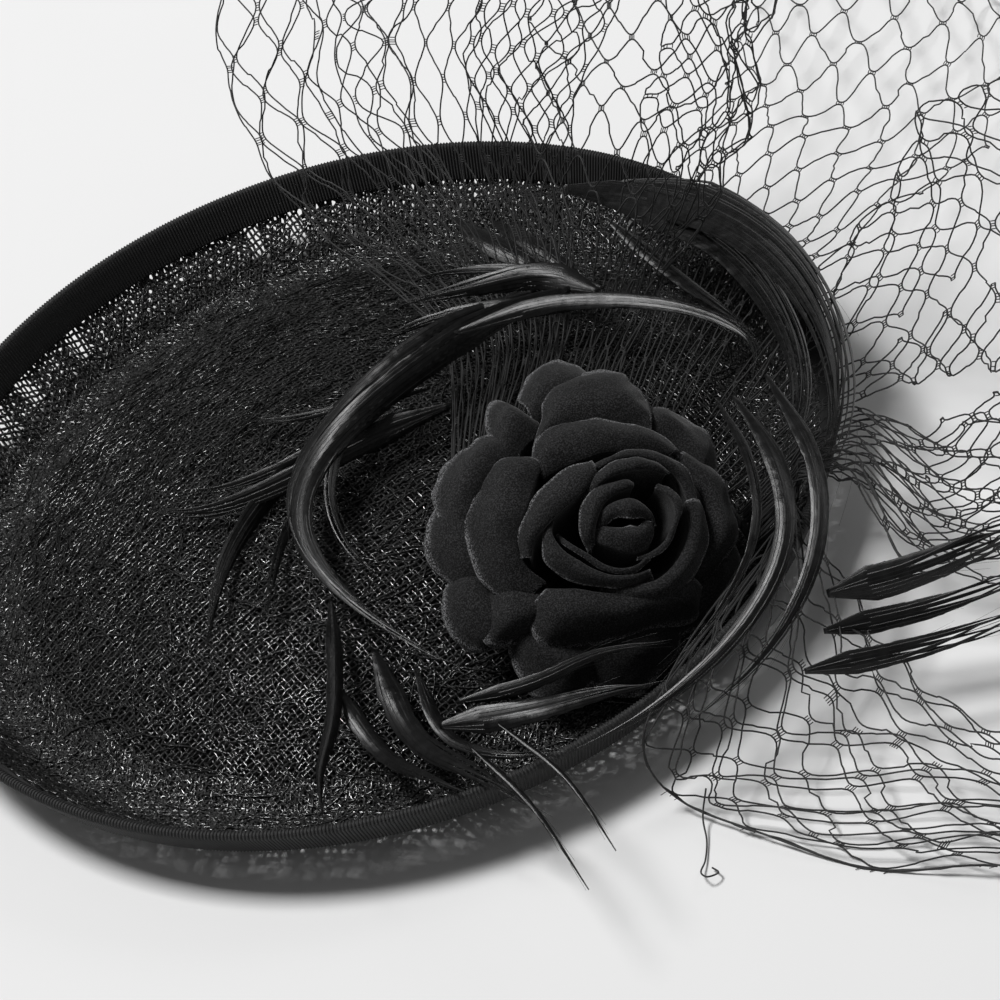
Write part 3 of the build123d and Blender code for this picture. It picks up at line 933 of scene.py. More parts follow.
HEART_PETALS = (
    Petal("petal_bud_flap", "rose_bud",
          ((154, 8, 31), (116, 7, 34), (66, 5.5, 35.3), (29, 5.5, 35.3), (-14, 6.2, 34), (-40, 7, 32)),
          ((156, 8.6, 30), (128, 4, 33.4), (100, 1.2, 34.6), (10, 1.0, 34.4), (-18, 4.2, 33.2),
           (-38, 7.4, 31)), True, 1.0, 0.2),
    Petal("petal_bud_under", "rose_bud",
          ((150, 8.6, 30.5), (174, 8, 31), (228, 6.6, 31.6), (268, 7, 31.6), (301, 6.6, 32),
           (328, 6, 32.5)),
          ((148, 5, 31.4), (172, 2.4, 32.8), (226, 0.6, 33.4), (268, 0.8, 33.4), (303, 2.4, 33.2),
           (330, 3.8, 32.8)), True, 1.0, 0.2),
    Petal("petal_heart_left", "rose_petal_inner_1",
          ((170, 9.6, 29.5), (150, 8.8, 32), (130, 8.3, 33.7), (105, 8.2, 34.8), (80, 8.3, 35.2),
           (55, 8.8, 34.8), (44, 9.6, 33.6)),
          ((174, 11, 27), (158, 12, 29.3), (140, 12.6, 30.6), (116, 12.9, 32), (90, 12.4, 33),
           (60, 11.5, 33.6), (42, 10.2, 33)), True),
    Petal("petal_heart_right", "rose_petal_inner_3",
          ((17, 12.9, 31.6), (2, 13.2, 33), (-14, 13.1, 33.4), (-36, 11.8, 33.2), (-62, 10.3, 32),
           (-90, 9, 31), (-112, 8.4, 29.6)),
          ((18, 14.2, 31.4), (2, 14.6, 32.9), (-14, 14.5, 33.2), (-36, 13, 32.9), (-62, 11.4, 31.6),
           (-90, 9.9, 30.6), (-113, 9, 29.3)), True),
    Petal("petal_heart_front", "rose_petal_inner_2",
          ((146, 18, 28), (163, 15, 30.6), (180, 13, 31.2), (200, 12.4, 31.3), (219, 12.1, 31.4),
           (241, 11, 31.4), (266, 9.4, 30.6)),
          ((146, 19, 27.6), (163, 16, 30.2), (180, 14, 30.8), (200, 13.4, 30.9), (219, 13.1, 31),
           (241, 12, 31), (266, 10.2, 30.2)), True),
    Petal("petal_heart_back", "rose_petal_mid_1",
          ((104, 11.8, 31.8), (88, 12.6, 34.4), (73, 13.2, 35.4), (57, 13.6, 35.7), (40, 14.6, 35.5),
           (28, 16, 34.4), (16, 17.6, 32)),
          ((105, 14, 30.6), (90, 15.6, 32.6), (75, 16.7, 33.5), (58, 17.2, 34), (40, 18.2, 34),
           (27, 18.9, 33), (14, 18.8, 31.2)), True),
    Petal("petal_fold_front", "rose_petal_mid_3",
          ((136, 19, 30.5), (150, 19.8, 31.8), (165, 18.4, 31.8), (180, 16.2, 31.3), (196, 15, 31),
           (214, 14.1, 30.8), (236, 13.2, 30.6), (258, 12.6, 29.6)),
          ((136, 19.6, 29.6), (150, 21.8, 30.3), (164, 22.6, 29), (177, 21.4, 27.9), (192, 18.8, 27.6),
           (211, 16.4, 27.8), (235, 15.2, 28), (258, 14.2, 27.6)), True),
    Petal("petal_diagonal", "rose_petal_mid_2",
          ((160, 26, 28), (151, 24.6, 31), (144, 21.4, 32.5), (134, 18.4, 33.5), (119, 15.8, 33.9),
           (102, 14.6, 33.8), (84, 14.8, 33)),
          ((159, 28.6, 26.5), (149, 28.2, 28.2), (140, 27, 29.3), (127, 25, 30.2), (110, 22.9, 30.6),
           (93, 21.6, 31), (76, 19.6, 31.6)), True),
    Petal("petal_right_under", "rose_petal_mid_5",
          ((80, 16.6, 31.8), (60, 17.6, 33), (40, 18.6, 33.2), (21, 19.4, 32.6), (5, 19.4, 30.6),
           (-10, 18.2, 29.4), (-28, 17, 28.4)),
          ((80, 18.4, 31), (60, 19.6, 32.3), (40, 20.8, 32.5), (20, 22.4, 31.4), (4, 22.6, 29),
           (-10, 20.6, 28), (-28, 18.8, 27.2)), True),
    Petal("petal_low_right", "rose_petal_mid_4",
          ((208, 14.6, 26), (226, 15, 28), (244, 15.4, 28.8), (262, 15.8, 29.2), (284, 15.6, 29.5),
           (306, 15.8, 30), (326, 16.4, 30.4), (348, 17, 30)),
          ((208, 17.6, 24.6), (226, 19, 25), (244, 20.4, 25), (262, 21.2, 25), (284, 20.6, 25.2),
           (306, 20.6, 25.8), (326, 21, 26.6), (348, 21, 27.4)), True),
)
OUTER_PETALS = (
    Petal("petal_big_left", "rose_petal_outer_3",
          ((92, 22.5, 28.4), (103, 20.6, 29.8), (120, 19.4, 30.4), (140, 20.4, 29.8),
           (158, 22.2, 28), (172, 21.5, 25.6), (188, 19, 23)),
          ((95, 27, 26.4), (105, 32.4, 24.6), (120, 33.6, 22.6), (138, 33.4, 21.6),
           (156, 32.6, 20.2), (173, 30.4, 19.4), (187, 25.4, 19.8))),
    Petal("petal_top_fold", "rose_petal_mid_1",
          ((97, 19.4, 27), (81, 18.4, 29.6), (62, 18.8, 30.6), (45, 20.4, 30.8), (28, 22.4, 30.2),
           (16, 25.4, 29.2), (9, 28.4, 27.4)),
          ((95, 24, 26), (82, 29.6, 26.8), (66, 31, 27.4), (50, 29.8, 28), (34, 29.8, 28),
           (19, 31.4, 27.2), (8, 31.6, 26))),
    Petal("petal_top_back", "rose_petal_outer_2",
          ((95, 24, 25), (77, 27, 26), (58, 28.4, 26.6), (40, 28.4, 26.6), (24, 30, 25.4)),
          ((86, 28, 25), (72, 38, 23.6), (58, 46.6, 21), (44, 47.4, 20.6), (30, 41, 22.6)),
          ruffle=0.9),
    Petal("petal_left_back", "rose_petal_outer_3",
          ((94, 28, 23), (106, 28.6, 23.6), (118, 29.4, 23), (130, 29.4, 22.4), (143, 28, 21.4),
           (158, 25, 20)),
          ((92, 37, 20.6), (102, 41.6, 20), (113, 43.8, 18.4), (128, 42, 17.4), (144, 37.6, 16.6),
           (159, 30, 17)), ruffle=0.9),
    Petal("petal_left_low", "rose_petal_outer_4",
          ((116, 28, 19), (130, 29, 19), (145, 29, 18.4), (158, 27, 17.6), (170, 24, 17)),
          ((116, 37, 15), (131, 42.4, 14), (146, 43, 13), (160, 37.4, 13.4), (172, 29, 14.6))),
    Petal("petal_low_left", "rose_petal_outer_4",
          ((148, 25, 16), (160, 27, 16.4), (172, 28, 16), (184, 27, 15.6), (195, 24, 15.4)),
          ((148, 34, 13), (161, 41, 11.4), (173, 44, 10.4), (184, 41.4, 10.2), (194, 33, 12))),
    Petal("petal_front_left", "rose_petal_outer_4",
          ((163, 21, 20.4), (174, 22, 21.6), (186, 22, 22), (198, 20.6, 22), (212, 19.6, 21)),
          ((163, 29, 16.6), (175, 35, 14.8), (187, 38.6, 13.8), (198, 32.4, 14.4),
           (212, 25.4, 16.4))),
    Petal("petal_front", "rose_petal_outer_5",
          ((191, 21, 24.6), (202, 19.4, 26.6), (212, 18.4, 27.6), (226, 18.2, 28), (240, 18.6, 28),
           (255, 20, 27.8), (269, 21.6, 27.2), (284, 23.4, 26), (296, 24, 24.6)),
          ((191, 26.4, 21), (199, 30.6, 19.2), (208, 32.6, 17.8), (219, 30.8, 17.8),
           (235, 27.8, 18.6), (251, 27.4, 18.8), (268, 28.8, 18.4), (284, 32.6, 17.6),
           (296, 30.6, 18.4))),
    Petal("petal_upper_left", "rose_petal_outer_2",
          ((76, 31, 22), (82, 31, 23.4), (88, 30.6, 23.6), (96, 29, 23.4), (105, 27, 22.6)),
          ((76, 38, 18.6), (81, 44.4, 17.8), (86, 46.4, 17.6), (94, 40.6, 18.6), (104, 31.6, 20.6))),
    Petal("petal_upper_back", "rose_petal_outer_2",
          ((78, 34, 20), (70, 36, 21), (62, 37, 21), (54, 36, 21), (47, 34, 20)),
          ((77, 44, 17), (70, 50, 15.8), (62, 53, 15), (55, 51, 15.4), (47, 46, 16.6))),
    Petal("petal_right_back", "rose_petal_outer_1",
          ((32, 30, 23.6), (22, 31, 24), (12, 31.4, 23.6), (2, 30, 22.8), (-8, 28, 22)),
          ((31, 39, 20), (21, 43, 19.2), (11, 43.6, 18.4), (1, 42, 18.4), (-9, 36, 19.6)),
          ruffle=0.9),
    Petal("petal_right", "rose_petal_outer_7",
          ((6, 28, 24.6), (-9, 29.4, 25), (-23, 30, 25), (-37, 29, 24.4), (-51, 26.6, 23.6),
           (-66, 24, 22.6), (-76, 22.6, 21.6)),
          ((6, 34.4, 22), (-10, 36.8, 21), (-24, 37.4, 20.8), (-37, 36.8, 20.4), (-51, 32.6, 20.2),
           (-65, 29, 20), (-76, 26.4, 19.8))),
    Petal("petal_bottom_left", "rose_petal_outer_5",
          ((183, 23, 17), (196, 24, 17.4), (208, 24.6, 17), (220, 24, 16.6), (232, 23, 16.6)),
          ((184, 31, 12.4), (197, 37, 10.4), (209, 41.6, 8.4), (221, 42.6, 7.8), (233, 35, 10.6))),
    Petal("petal_bottom_right", "rose_petal_outer_6",
          ((224, 23, 17), (238, 24, 17.4), (252, 24, 17.8), (266, 24, 18), (280, 23, 18)),
          ((224, 34, 11), (239, 39.6, 9.4), (252, 39.4, 10.6), (266, 36, 12.6), (280, 31, 14))),
    Petal("petal_under_right", "rose_petal_outer_6",
          ((272, 25, 18.4), (287, 26.6, 19), (302, 27.4, 19.4), (317, 27.4, 19.8), (330, 26, 20)),
          ((272, 32, 14), (287, 36, 14.4), (302, 38, 15), (317, 38, 16), (331, 35, 17.4))),
)


@dataclass
class Rose:
    """The crepe rose: a wound bud, rolled heart petals and spread outer petals."""

    frame: RoseFrame = field(default_factory=RoseFrame)
    heart: tuple[float, float] = (5.0, -5.0)
    cloth: float = 0.55
    rows: int = 40
    columns: int = 46
    foot_radius: float = 7.0
    foot_height: float = 4.8

    def line(self, points: tuple[Triple, ...], middle: Array) -> Array:
        """A listed line of (heading, radius, height) as points round a middle."""
        heading, radius, height = np.array(points, float).T
        angle = np.radians(heading)
        return np.column_stack(
            [middle[0] + radius * np.cos(angle), middle[1] + radius * np.sin(angle), height]
        )

    def sheet(self, petal: Petal, seed: int) -> tuple[Array, Array]:
        """The petal's middle surface.

        Args:
            petal: its lines.
            seed: picks its ruffles.

        Returns:
            The grid of points in the rose's frame, and the edge mark of each.
        """
        middle = np.array(self.heart if petal.heart else (0.0, 0.0))
        across = np.linspace(0, 1, self.columns)
        crest = catmull(self.line(petal.crest, middle), across)
        lip = catmull(self.line(petal.lip, middle), across)
        plan = crest[:, :2] - middle
        out = unit(plan.mean(0, keepdims=True))
        foot = np.column_stack([
            0.25 * plan * self.foot_radius / np.linalg.norm(plan, axis=1, keepdims=True)
            + 0.6 * out * self.foot_radius + middle * 0.4,
            np.full(self.columns, self.foot_height),
        ])
        belly = crest.copy()
        belly[:, :2] = middle * 0.9 + plan * petal.belly
        belly[:, 2] = self.foot_height + (crest[:, 2] - self.foot_height) * 0.55
        near = crest + (belly - crest) * 0.18
        near[:, :2] += out * 0.2
        roll = (crest + lip) / 2
        roll[:, 2] += 0.28 * np.linalg.norm(lip - crest, axis=1)
        control = np.stack([foot, belly, near, crest, roll, lip])
        places = np.linspace(0, 1, self.rows) ** 0.8
        grid = catmull(control, places)
        rise = places[:, None, None]
        grid = grid + wander(grid, 16, petal.ruffle, seed) * rise**2
        grid = grid + wander(grid, 6, petal.ruffle * 0.3, seed + 50) * rise**4
        side = np.abs(np.linspace(-1, 1, self.columns))
        band = np.maximum(
            np.clip((places[:, None] - 0.955) / 0.03, 0, 1),
            np.clip((side[None, :] - 0.965) / 0.03, 0, 1) * (places[:, None] > 0.6),
        )
        return grid, np.stack([band, np.zeros_like(band), np.zeros_like(band)], -1)

    def build(self) -> None:
        """Makes and dresses every petal."""
        crepe, felt = PetalFinish().make(), FeltFinish().make()
        for seed, petal in enumerate(HEART_PETALS + OUTER_PETALS):
            grid, mark = self.sheet(petal, seed)
            cloth = Cloth()
            cloth.add(self.frame.place(grid.reshape(-1, 3)).reshape(grid.shape), self.cloth, mark)
            dress(cloth.make(petal.name), crepe, "petal_fabric", petal.node)
        finish_node("rose_calyx", crepe)
        finish_node("felt_disc", felt)


def finish_node(node: str, material: Finish) -> None:
    """Gives a CAD node its finish."""
    piece = bpy.data.objects[node]
    piece.data.materials.clear()
    piece.data.materials.append(material)


# ------------------------------------------------------------------ feathers
@dataclass(frozen=True)
class Blade:
    """One stripped feather.

    Its shine runs along the spine, from 0 where its face is turned aside to 1 where it lies
    flat, and its tip comes apart into its splits.
    """

    spine: tuple[Triple, ...]
    width: float
    shine: tuple[float, ...] = (0.1, 0.3, 0.1)
    splits: int = 3
    splay: float = 1.0


FEATHERS: dict[str, tuple[Blade, ...]] = {
    "feather_big_twist": (
        Blade(((71, 20, 38), (53, 15, 43), (34, 5, 45), (12, -3, 43), (-14, -20, 39),
               (-20, -38, 35), (-12, -62, 31), (2, -84, 28), (16, -100, 25)),
              8.5, (0.1, 0.1, 0.2, 0.3, 1, 1, 0.6, 0.2, 0.1), 8, 0.5),
        Blade(((62, 26, 36), (40, 18, 42), (16, 8, 42), (-10, -10, 39), (-20, -30, 36),
               (-16, -52, 33), (-4, -74, 30)), 6.5, (0.1, 0.3, 0.5, 1, 0.6, 0.2, 0.1), 6, 0.6),
        Blade(((46, 14, 40), (24, 8, 43), (4, -6, 41), (-8, -24, 37), (-8, -46, 33), (2, -66, 30)),
              4.5, (0.1, 0.2, 0.4, 0.2, 0.1), 4, 0.8),
    ),
    "feather_top_left": (
        Blade(((78, 18, 36), (65, 30, 38), (45, 34, 38), (22, 43, 35)), 8, (0, 0.1, 0.2, 0.1, 0), 7, 0.8),
        Blade(((80, 22, 33), (62, 36, 36), (44, 46, 36), (30, 52, 34)), 4, (0, 0.1, 0.2, 0.1, 0), 4, 0.8),
        Blade(((70, 14, 36), (50, 20, 40), (30, 24, 40), (12, 26, 36)), 5, (0, 0.1, 0.2, 0.1, 0), 5, 0.8),
    ),
    "feather_left_tip": (
        Blade(((30, -8, 36), (6, -8, 34), (-21, -11, 31), (-44, -8, 28), (-62, 6, 26)),
              7, (0, 0.1, 0.2, 0.1, 0), 7, 0.8),
        Blade(((20, -2, 34), (-2, -2, 32), (-24, -4, 30), (-40, -1, 28), (-52, 8, 27)),
              4, (0, 0.1, 0.2, 0.1, 0), 4, 0.8),
        Blade(((26, 4, 34), (4, 8, 33), (-14, 14, 31), (-30, 24, 29)), 3, (0, 0.1, 0.2, 0.1, 0), 3, 0.8),
    ),
    "feather_left_down": (
        Blade(((-8, 4, 29), (-30, -14, 27), (-43, -32, 25), (-53, -61, 23)),
              6, (0, 0.1, 0.2, 0.1, 0), 5, 0.5),
        Blade(((-6, -8, 30), (-22, -24, 27), (-30, -42, 26), (-36, -60, 25)),
              3, (0, 0.1, 0.2, 0.1, 0), 3, 0.8),
    ),
    "feather_cross_ribbon": (
        Blade(((-16, -54, 25), (-19, -72, 23), (-24, -95, 22), (-31, -114, 24), (-32, -139, 25)),
              5, (0, 0.1, 0.2, 0.1, 0), 4, 0.5),
    ),
    "feather_lower": (
        Blade(((-9, -72, 20), (-6, -104, 18), (6, -128, 24), (22, -154, 27)),
              7, (0.2, 0.6, 1, 0.6, 0.2), 6, 0.7),
        Blade(((-22, -76, 19), (-15, -104, 16), (-4, -126, 24), (9, -143, 27)),
              5, (0.1, 0.4, 0.7, 0.2), 5, 0.7),
        Blade(((0, -84, 21), (2, -108, 19), (14, -124, 22), (30, -132, 24)),
              4, (0.1, 0.2, 0.3, 0.1), 4, 0.8),
    ),
    "feather_under_rose": (
        Blade(((2, -110, 24), (24, -116, 25), (44, -117, 24), (60, -121, 25)),
              7, (0.2, 0.6, 1, 0.6, 0.2), 7, 0.4),
        Blade(((8, -104, 24), (28, -108, 26), (46, -106, 27), (64, -110, 27)),
              4, (0.1, 0.4, 0.4, 0.1), 4, 0.8),
    ),
    "feather_right_arc": (
        Blade(((100, -52, 46), (104, -80, 45), (98, -106, 41), (78, -124, 34), (50, -134, 28),
               (29, -136, 27)), 5.5, (0.2, 0.5, 0.8, 0.5, 0.2), 5, 0.5),
        Blade(((110, -48, 46), (113, -84, 44), (103, -112, 38), (83, -131, 32), (60, -141, 29)),
              5, (0.2, 0.3, 0.6, 0.3, 0.1), 5, 0.5),
        Blade(((96, -46, 42), (98, -74, 43), (92, -98, 40), (76, -114, 34), (56, -124, 29)),
              3, (0.1, 0.3, 0.1), 3, 0.8),
    ),
    "feather_crescent": (
        Blade(((95, 62, 34), (114, 34, 40), (127, 2, 42), (130, -38, 43), (122, -70, 40),
               (106, -88, 38)), 18, (0, 0.1, 0.2, 0.1, 0), 16, 0.6),
        Blade(((88, 62, 32), (106, 36, 37), (118, 6, 38), (121, -32, 38), (114, -60, 36),
               (100, -76, 34)), 12, (0, 0.1, 0.2, 0.1, 0), 10, 0.6),
        Blade(((80, 74, 30), (100, 50, 36), (120, 22, 40), (128, -8, 42)),
              8, (0, 0.1, 0.2, 0.1, 0), 8, 0.8),
    ),
    "feather_tail_upper": (
        Blade(((104, -116, 31), (122, -121, 34), (140, -125, 39), (162, -130, 46)),
              9, (0, 0.1, 0.2, 0.1, 0), 9, 1.4),
    ),
    "feather_tail_lower": (
        Blade(((100, -124, 27), (118, -127, 27), (134, -130, 29), (158, -134, 35)),
              6, (0, 0.1, 0.2, 0.1, 0), 6, 1.2),
        Blade(((92, -133, 25), (108, -136, 25), (128, -139, 26), (154, -142, 30)),
              6, (0, 0.1, 0.2, 0.1, 0), 6, 1.2),
    ),
    "feather_over_rose": (
        Blade(((37, 2, 51), (64, -6, 57), (93, -22, 57), (110, -38, 52), (106, -56, 55)),
              5, (0.2, 0.6, 0.8, 0.4), 5, 0.3),
    ),
    "feather_top_bunch": (
        Blade(((48, 86, 23), (56, 66, 24), (68, 48, 22), (78, 32, 18)), 8, (0, 0.1, 0.2, 0.1, 0), 7, 0.8),
        Blade(((58, 80, 22), (66, 62, 24), (74, 46, 22), (80, 30, 20)), 6, (0, 0.1, 0.2, 0.1, 0), 5, 0.8),
    ),
    "feather_long_curve": (
        Blade(((88, 52, 32), (100, 22, 29), (110, -8, 33), (112, -26, 40)),
              5, (0, 0.1, 0.2, 0.1, 0), 4, 0.8),
    ),
    "feather_quills": (
        Blade(((8, -126, 30), (18, -150, 29), (25, -180, 27)), 1.6, (0, 0.1, 0.2, 0.1, 0), 1, 0.1),
        Blade(((16, -122, 31), (28, -146, 30), (34, -172, 28)), 1.4, (0, 0.1, 0.2, 0.1, 0), 1, 0.1),
    ),
}


@dataclass
class Plumage:
    """Every feather bunch, each blade one smooth web of barbs that splits towards its tip."""

    stations: int = 56
    columns: int = 7
    thickness: float = 0.16
    cup: float = 0.10
    point: float = 3.0          # how late the blade narrows
    notches: int = 5
    quill: float = 0.24
    hair: float = 0.05
    hairs: int = 8
    lit: Triple = (-0.14, -0.29, 0.95)      # the way a shining face looks
    aside: Triple = (0.45, -0.75, 0.48)     # the way a dull face looks
    smoothing: int = 9                      # stations that each station is averaged over

    def frames(self, blade: Blade) -> Frames:
        """Points, side directions and face directions along a blade's spine."""
        t = np.linspace(0, 1, self.stations)
        spine = even(catmull(np.array(blade.spine, float), np.linspace(0, 1, 160)), self.stations)
        spine = self.smooth(self.smooth(spine))
        ahead = unit(np.gradient(spine, axis=0))
        shine = catmull(np.array(blade.shine, float)[:, None], t)
        target = shine * np.array(self.lit) + (1 - shine) * np.array(self.aside)
        face = unit(target - (target * ahead).sum(1, keepdims=True) * ahead)
        face = unit(self.smooth(face))
        return spine, np.cross(ahead, face), face

    def smooth(self, rows: Array) -> Array:
        """The rows again, each averaged with its neighbours; the ends keep their direction."""
        reach = self.smoothing // 2
        ahead = np.arange(1, reach + 1)[:, None]
        before = rows[0] - (rows[1] - rows[0]) * ahead[::-1]
        after = rows[-1] + (rows[-1] - rows[-2]) * ahead
        long = np.concatenate([before, rows, after])
        window = np.ones(self.smoothing) / self.smoothing
        return np.stack([np.convolve(long[:, k], window, mode="valid") for k in range(3)], 1)

    def edge_notches(self, rng: Dice) -> Array:
        """Shares of the half width that are missing from one edge, along the blade."""
        t = np.linspace(0, 1, self.stations)
        missing = 0.03 * rng.random(self.stations)
        for _ in range(self.notches):
            place, depth, reach = rng.uniform(0.25, 0.98), rng.uniform(0.1, 0.4), rng.uniform(0.01, 0.04)
            missing += depth * np.clip(1 - np.abs(t - place) / reach, 0, 1)
        return np.minimum(missing, 0.5)

    def strip(self, blade: Blade, frames: Frames, k: int, rng: Dice) -> tuple[Array, Array, Array]:
        """One strip of the web, joined to its neighbours up to where the blade splits.

        Args:
            blade: the blade that it belongs to.
            frames: the spine's points, sides and faces.
            k: which strip it is, counted across the blade.
            rng: the bunch's random numbers.

        Returns:
            The grid of points, the thickness over it, and its marks.
        """
        spine, side, face = frames
        t = np.linspace(0, 1, self.stations)
        own = t * (1 - rng.uniform(0, 0.16) * (blade.splits > 1))
        centre, sideways, facing = (
            np.stack([np.interp(own, t, part[:, i]) for i in range(3)], 1)[:, None, :]
            for part in (spine, side, face)
        )
        half = (blade.width / 2 * np.minimum(0.2 + 4 * t, 1) * (1 - t**self.point) + 0.08)[:, None]
        loose = (np.clip((t - rng.uniform(0.3, 0.75)) / 0.45, 0, 1) ** 1.4)[:, None]
        low, high = 2 * k / blade.splits - 1, 2 * (k + 1) / blade.splits - 1
        middle = (low + high) / 2
        share = middle + (np.linspace(low - 0.03, high + 0.03, self.columns) - middle) * (1 - 0.3 * loose)
        if k == 0:
            share[:, 0] += self.edge_notches(rng)
        if k == blade.splits - 1:
            share[:, -1] -= self.edge_notches(rng)
        stray = blade.splay * blade.width * loose
        across = half * share + stray * rng.normal(0, 0.12)
        over = self.cup * 2 * half * (1 - share**2) + stray * rng.normal(0, 0.07)
        grid = centre + sideways * across[:, :, None] + facing * over[:, :, None]
        along = np.cumsum(np.linalg.norm(np.gradient(centre[:, 0], axis=0), axis=1))
        flat = np.broadcast_to(along[:, None], share.shape)
        mark = np.stack([np.abs(half * share), flat, np.zeros_like(share)], -1)
        return grid, self.thickness * (1.05 - 0.6 * share**2), mark

    def bunch(
        self, name: str, blades: tuple[Blade, ...], seed: int, tree: ThreadTree, material: Finish
    ) -> tuple[Thing, Thing]:
        """One bunch: its webs, and its quills with loose barbs.

        Args:
            name: the CAD node that the bunch stands for.
            blades: its feathers.
            seed: picks its splits and strays.
            tree: what makes the paths round.
            material: the feathers' finish.

        Returns:
            The two pieces.
        """
        rng = np.random.default_rng(seed)
        cloth, strands = Cloth(), Strands()
        for blade in blades:
            frames = self.frames(blade)
            spine, side, face = frames
            for k in range(blade.splits):
                cloth.add(*self.strip(blade, frames, k, rng))
            strands.add(spine - face * 0.2, np.linspace(self.quill, 0.05, self.stations))
            for _ in range(self.hairs):
                first = rng.integers(self.stations // 3, self.stations - 8)
                run = np.arange(first, min(first + 10, self.stations))
                share = np.linspace(0.5, 1, len(run))[:, None]
                reach = blade.width * rng.uniform(0.4, 0.75) * rng.choice((-1.0, 1.0))
                hair = spine[run] + side[run] * reach * share
                hair = hair + face[run] * rng.normal(0.4, 0.6) * share
                strands.add(hair, np.linspace(self.hair, 0.025, len(run)))
        barbs = cloth.make(f"{name}_barbs")
        return barbs, strands.make(f"{name}_quills", tree, material, 4)

    def build(self, tree: ThreadTree) -> None:
        """Makes and dresses every bunch."""
        gloss = FeatherFinish().make()
        for seed, (node, blades) in enumerate(FEATHERS.items()):
            for piece in self.bunch(node, blades, 100 + seed, tree, gloss):
                dress(piece, gloss, "feather", node)


# ------------------------------------------------------------------ veil
class Run(Enum):
    """Which way the net's threads run on a length of veil."""

    ACROSS = "side by side with the header"
    OUTWARDS = "from the header to the free edge"


class Selvedge(Enum):
    """Which border of a length of veil is the net's own woven edge."""

    NONE = "cut"
    OUTER = "the edge furthest from the header"
    LAST_SIDE = "the side where the share is 1"


@dataclass(frozen=True)
class Length:
    """One length of net: its listed rows, how it is pleated, and its lattice."""

    node: str
    headings: tuple[float, float]
    rows: tuple[tuple[Triple, ...], ...]
    pleats: tuple[tuple[float, float], ...]     # share along a row, lift off the rows
    cells: int                                  # across the pleated width
    run: Run = Run.ACROSS
    selvedge: Selvedge = Selvedge.NONE
    seed: int = 0


